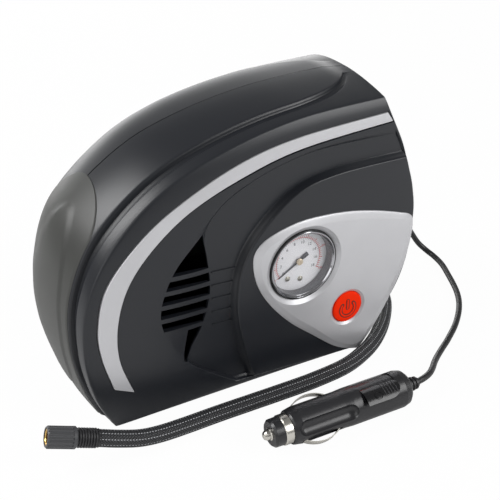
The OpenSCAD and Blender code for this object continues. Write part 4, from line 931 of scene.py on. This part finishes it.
def numerals(name, marks, step, radius, high, finish):
    """Plain numbers round the scale."""
    mesh = bpy.data.meshes.new(name)
    bm = bmesh.new()
    for k in range(marks):
        font = bpy.data.curves.new(f"{name}_{k}", "FONT")
        font.body = str(k * step)
        font.size = high * 0.001
        font.extrude = 0.00003
        font.align_x, font.align_y = "CENTER", "CENTER"
        holder = bpy.data.objects.new(f"{name}_{k}", font)
        scene.collection.objects.link(holder)
        bpy.context.view_layer.update()
        one = bpy.data.meshes.new_from_object(holder.evaluated_get(bpy.context.evaluated_depsgraph_get()))
        middle = on_dial(radius, SCALE_START - SCALE_SWEEP * k / (marks - 1))
        place = to_frame((middle[0], DIAL_Y - 0.05, middle[1]))
        one.transform(Matrix.Translation(place.tolist()) @ Matrix.Rotation(math.pi / 2, 4, "X"))
        bm.from_mesh(one)
        bpy.data.objects.remove(holder)
    bm.to_mesh(mesh)
    bm.free()
    mesh.materials.append(finish)
    piece = bpy.data.objects.new(name, mesh)
    scene.collection.objects.link(piece)
    return piece


bezel_black = moulded("bezel_black", (0.012, 0.012, 0.013), 0.22)
chrome = moulded("chrome_ring", (0.42, 0.42, 0.44), 0.14, metal=1.0, depth=0.000004)
wall_grey = moulded("gauge_wall", (0.16, 0.16, 0.17), 0.30, metal=0.6)
bezel = turned("gauge_bezel", GAUGE_AT, BEZEL_PROFILE, bezel_black, sides=128)
ring = turned("gauge_chrome_ring", GAUGE_AT, CHROME_PROFILE, chrome, sides=128)
wall = turned("gauge_inner_wall", GAUGE_AT, WALL_PROFILE, wall_grey, sides=128)
white = moulded("dial_white", (0.86, 0.86, 0.89), 0.45, grain=3000, depth=0.000005, mottle=0.02)
face = lofted("dial_face", [ring_at(GAUGE_AT, DIAL_R, DIAL_Y + 0.6), ring_at(GAUGE_AT, DIAL_R, DIAL_Y)],
              white)
red_ink = moulded("red_ink", (0.62, 0.10, 0.10), 0.5)
grey_ink = moulded("grey_ink", (0.10, 0.10, 0.12), 0.5)
red_ticks, grey_ticks = [], []
for k in range(RED_TICKS + 1):
    far, wide = (19.0, 0.5) if k % 5 == 0 else (18.2, 0.34)
    red_ticks.append(tick(SCALE_START - SCALE_SWEEP * k / RED_TICKS, 16.6, far, wide))
for k in range(GREY_TICKS + 1):
    near = 15.2 if k % 5 == 0 else 15.6
    grey_ticks.append(tick(SCALE_START - SCALE_SWEEP * k / GREY_TICKS, near, 16.3, 0.2))
red_scale = printed("dial_red_scale", red_ticks + arc_line(16.5, 0.35), DIAL_Y, red_ink)
grey_scale = printed("dial_grey_scale", grey_ticks, DIAL_Y, grey_ink)
grey_numbers = numerals("dial_grey_numbers", GREY_MARKS, 2, GREY_RADIUS, GREY_HIGH, grey_ink)
red_numbers = numerals("dial_red_numbers", RED_MARKS, 50, RED_RADIUS, RED_HIGH, red_ink)
nickel_head = moulded("nickel_head", (0.55, 0.53, 0.46), 0.25, metal=1.0)
heads = []
for k, degrees in enumerate((SCREWS_MIDDLE - SCREWS_APART, SCREWS_MIDDLE + SCREWS_APART)):
    middle = on_dial(SCREWS_RADIUS, degrees)
    rings = [ring_at(middle, radius, DIAL_Y - up, 32) for radius, up in SCREW_PROFILE]
    # Painted shade: each screw's slot is a thin dark strip laid on its head in place of a cut groove.
    slot = tilted_box(middle + (-1.2, 0.45), 2.5, 0.35, 0.4)
    heads.append(lofted(f"dial_screw_{k}", rings, nickel_head))
    heads.append(printed(f"dial_screw_slot_shade_{k}", [slot], DIAL_Y - 0.98, bezel_black, thick=0.08))
hub_brass = moulded("hub_brass", (0.66, 0.55, 0.40), 0.35, metal=0.5)
hub_rings = [ring_at(GAUGE_AT, radius, DIAL_Y - up, 48) for radius, up in HUB_PROFILE]
hub = lofted("needle_hub", hub_rings, hub_brass)
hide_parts("gauge_rim")
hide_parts("gauge_dial")
for piece in [bezel, ring, wall, face, red_scale, grey_scale, grey_numbers, red_numbers] + heads:
    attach(piece, "inflator")
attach(hub, "needle")


def clear_pane():
    """A thin clear lens: nearly all light goes straight through, and a little is mirrored."""
    made, parts, link = material("clear_pane")
    shader = parts["Principled BSDF"]
    shader.inputs["Roughness"].default_value = 0.04
    shader.inputs["Base Color"].default_value = (0.5, 0.5, 0.52, 1)
    through_it = parts.new("ShaderNodeBsdfTransparent")
    smudge = parts.new("ShaderNodeTexNoise")
    smudge.inputs["Scale"].default_value = 60
    share = parts.new("ShaderNodeMapRange")
    share.inputs["To Min"].default_value = 0.04
    share.inputs["To Max"].default_value = 0.08
    mix = parts.new("ShaderNodeMixShader")
    link(smudge.outputs["Fac"], share.inputs["Value"])
    link(share.outputs["Result"], mix.inputs["Fac"])
    link(through_it.outputs[0], mix.inputs[1])
    link(shader.outputs["BSDF"], mix.inputs[2])
    link(mix.outputs[0], parts["Material Output"].inputs["Surface"])
    return made


dress(clear_pane(), "gauge_lens")

# ---- Power button ----
# A round push button of matt orange-red ABS, which slides in the panel's smaller opening. The power sign
# stands up from it as a fine double line.
BUTTON_Y, BUTTON_FOOT, BUTTON_R = -60.6, -56, 11.65
SIGN_AT = np.array((71.3, 40.2))
SIGN_R, SIGN_HALF, LINE_HALF = 5.7, 1.35, 0.66
ARC_OPEN, STROKE_LOW, STROKE_LONG = 72, -0.9, 8.6
EDGE_HIGH, LINE_HIGH = 0.22, 0.30


def ribbon(name, line, half, y, thick, finish):
    """A flat band with round ends along a line."""
    line = np.array(line)
    along = np.concatenate(([0], np.cumsum(np.linalg.norm(np.diff(line, axis=0), axis=1))))
    left = np.minimum(along, along[-1] - along)
    wide = half * np.sqrt(np.clip(1 - (1 - np.minimum(left / half, 1)) ** 2, 0.02, 1))
    ahead = np.gradient(line, axis=0)
    ahead /= np.linalg.norm(ahead, axis=1)[:, None]
    side = np.column_stack((-ahead[:, 1], ahead[:, 0])) * wide[:, None]
    shapes = [[line[k] - side[k], line[k + 1] - side[k + 1], line[k + 1] + side[k + 1], line[k] + side[k]]
              for k in range(len(line) - 1)]
    return printed(name, shapes, y, finish, thick=thick)


button_red = moulded("button_red", (0.95, 0.026, 0.0005), 0.6, mottle=0.03)
button_red.node_tree.nodes["Principled BSDF"].inputs["Specular IOR Level"].default_value = 0.08
dark_line = moulded("button_dark_line", (0.060, 0.012, 0.003), 0.4)
cap = ((9, BUTTON_FOOT), (BUTTON_R, BUTTON_FOOT), (BUTTON_R, BUTTON_Y + 0.8),
       (BUTTON_R - 0.25, BUTTON_Y + 0.35), (BUTTON_R - 0.9, BUTTON_Y + 0.06), (BUTTON_R - 1.8, BUTTON_Y),
       (7, BUTTON_Y + 0.06), (3, BUTTON_Y + 0.1))
button = lofted("push_button", [ring_at(BUTTON_AT, radius, y) for radius, y in cap], button_red)
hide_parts("power_button")
sweep = [math.radians(90 + ARC_OPEN / 2 + k * (360 - ARC_OPEN) / 60) for k in range(61)]
arc = [SIGN_AT + SIGN_R * np.array((math.cos(a), math.sin(a))) for a in sweep]
stroke = [SIGN_AT + (0, STROKE_LOW + k * STROKE_LONG / 20) for k in range(21)]
sign_y = BUTTON_Y + 0.12
sign = [ribbon("sign_arc_edge", arc, SIGN_HALF, sign_y, EDGE_HIGH, dark_line),
        ribbon("sign_arc", arc[2:-2], LINE_HALF, sign_y, LINE_HIGH, button_red),
        ribbon("sign_stroke_edge", stroke, SIGN_HALF, sign_y, EDGE_HIGH, dark_line),
        ribbon("sign_stroke", stroke[1:-1], LINE_HALF, sign_y, LINE_HIGH, button_red)]
for piece in [button] + sign:
    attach(piece, "button")

# ---- Plug: grip lines and fuse window ----
# The plug has a flat window panel on its upper side. A dark round stud sits in its middle, and five fine
# raised lines run round the barrel behind it, coloured a lighter grey than the plug as a painted highlight.
PLUG_AT = np.array((76.6, -122.1, 12.6))
PLUG_TURN = math.radians(178.3)
GRIP_R, WINDOW_MID, WINDOW_HALF = 11.8, 172.0, 33.0
WINDOW_START, WINDOW_END = 13.0, 39.4
STUD_TURN, STUD_ALONG = 152.0, 30.0
GRIP_LINES, GRIP_FIRST, GRIP_PITCH, GRIP_WIDE, GRIP_PROUD = 5, 16.2, 2.2, 0.42, 0.75
PLATE_HALF, PLATE_ROUND = 42, 9
# The stud's section: its half width and its distance from the plug's axis.
STUD_PROFILE = ((3.1, 11.9), (3.1, 12.3), (2.7, 12.4), (2.3, 12.3), (2.1, 11.6))


def on_plug(radius, turn, along):
    """A point on the barrel: its distance from the axis, its turn round it and its place along it."""
    a = math.radians(turn)
    x, y, z = along, radius * math.sin(a), -radius * math.cos(a)
    c, s = math.cos(PLUG_TURN), math.sin(PLUG_TURN)
    return PLUG_AT - CASE_AT + (x * c - y * s, x * s + y * c, z)


def window_plate():
    """The glossy panel set into the barrel, with a rounded end towards the cord."""
    rings = []
    for k in range(25):
        along = WINDOW_START + (WINDOW_END - WINDOW_START) * k / 24
        near = min(1.0, (along - WINDOW_START + 0.3) / PLATE_ROUND)
        half = PLATE_HALF * math.sqrt(1 - (1 - near) ** 2)
        turns = [WINDOW_MID - half + 2 * half * m / 16 for m in range(17)]
        rings.append(np.array([on_plug(GRIP_R - 0.25, t, along) for t in turns]
                              + [on_plug(GRIP_R + 0.22, t, along) for t in turns[::-1]]))
    return rings


def grip_line(name, along, wide, proud):
    """A thin raised line part of the way round the barrel."""
    rings = []
    for k in range(33):
        turn = WINDOW_MID - WINDOW_HALF + 2 * WINDOW_HALF * k / 32
        fade = min(1.0, 8 * min(k, 32 - k) / 32 + 0.05)
        foot, top = GRIP_R - 0.3, GRIP_R + proud * fade
        rings.append(np.array([on_plug(foot, turn, along - wide), on_plug(top, turn, along),
                               on_plug(foot, turn, along + wide)]))
    return lofted(name, rings, grip_painted_glint)


# Painted highlight: the raised lines are a lighter grey than the black plug, for the shine along them.
grip_painted_glint = moulded("grip_painted_glint", (0.085, 0.085, 0.090), 0.35)
plate = lofted("plug_window", window_plate(), moulded("window_black", (0.005, 0.005, 0.006), 0.22))
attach(plate, "inflator")
for k in range(GRIP_LINES):
    line = grip_line(f"plug_grip_line_{k}", GRIP_FIRST + GRIP_PITCH * k, GRIP_WIDE, GRIP_PROUD)
    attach(line, "inflator")
stud_rings = []
for wide, radius in STUD_PROFILE:
    spread = math.degrees(wide / radius)
    around = np.arange(32) * 2 * math.pi / 32
    stud_rings.append(np.array([on_plug(radius, STUD_TURN + spread * math.cos(a),
                                        STUD_ALONG + wide * math.sin(a)) for a in around]))
stud = lofted("plug_stud", stud_rings, moulded("dark_stud", (0.004, 0.004, 0.005), 0.15))
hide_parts("plug_led")
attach(stud, "inflator")

# ---- Plain finishes ----
# Plastics, plated steel, brass, cast alloy and rubber on the pieces that keep their plain shape: the glands,
# the knob and the plug's ends, and the motor, the gears and the pump inside the case.
satin_black = moulded("satin_black", (0.018, 0.018, 0.020), 0.45)
dress(satin_black, "hose_gland", "cord_gland", "gauge_case", "switch_body", "motor_end_cap",
      "cooling_fan", "hose_collar", "plug_relief")
plug_black = moulded("plug_black", (0.016, 0.016, 0.018), 0.30)
dress(plug_black, "plug_body", "plug_nose")
dress(moulded("knob_grey", (0.055, 0.056, 0.060), 0.45), "chuck_knob")
nickel = moulded("nickel_plate", (0.62, 0.60, 0.55), 0.22, metal=1.0, depth=0.000005)
dress(nickel, "plug_contact_front", "plug_contact_rear", "plug_ring", "plug_pin", "plug_fuse",
      "motor_terminals")
brass = moulded("turned_brass", (0.60, 0.40, 0.14), 0.28, metal=1.0, depth=0.00001)
dress(brass, "chuck_insert", "pinion", "crank_bush")
steel = moulded("zinc_steel", (0.55, 0.55, 0.57), 0.30, metal=1.0, depth=0.000008)
dress(steel, "case_screws", "frame_screws", "motor_screws", "motor_shaft", "crank_shaft", "crank_pin",
      "head_screws", "pump_frame", "motor_can")
alloy = moulded("cast_alloy", (0.48, 0.48, 0.50), 0.5, metal=1.0, depth=0.00004, grain=500)
dress(alloy, "connecting_rod", "seal_plate", "pump_cylinder", "cylinder_head")
dress(moulded("acetal", (0.72, 0.71, 0.66), 0.4), "drive_gear")
dress(moulded("soft_tube", (0.45, 0.42, 0.34), 0.5), "air_tube", "gauge_tube", "piston_seal")
dress(moulded("seal_black", (0.01, 0.01, 0.011), 0.6), "chuck_seal")
dress(moulded("needle_dark", (0.05, 0.05, 0.06), 0.4), "gauge_needle")
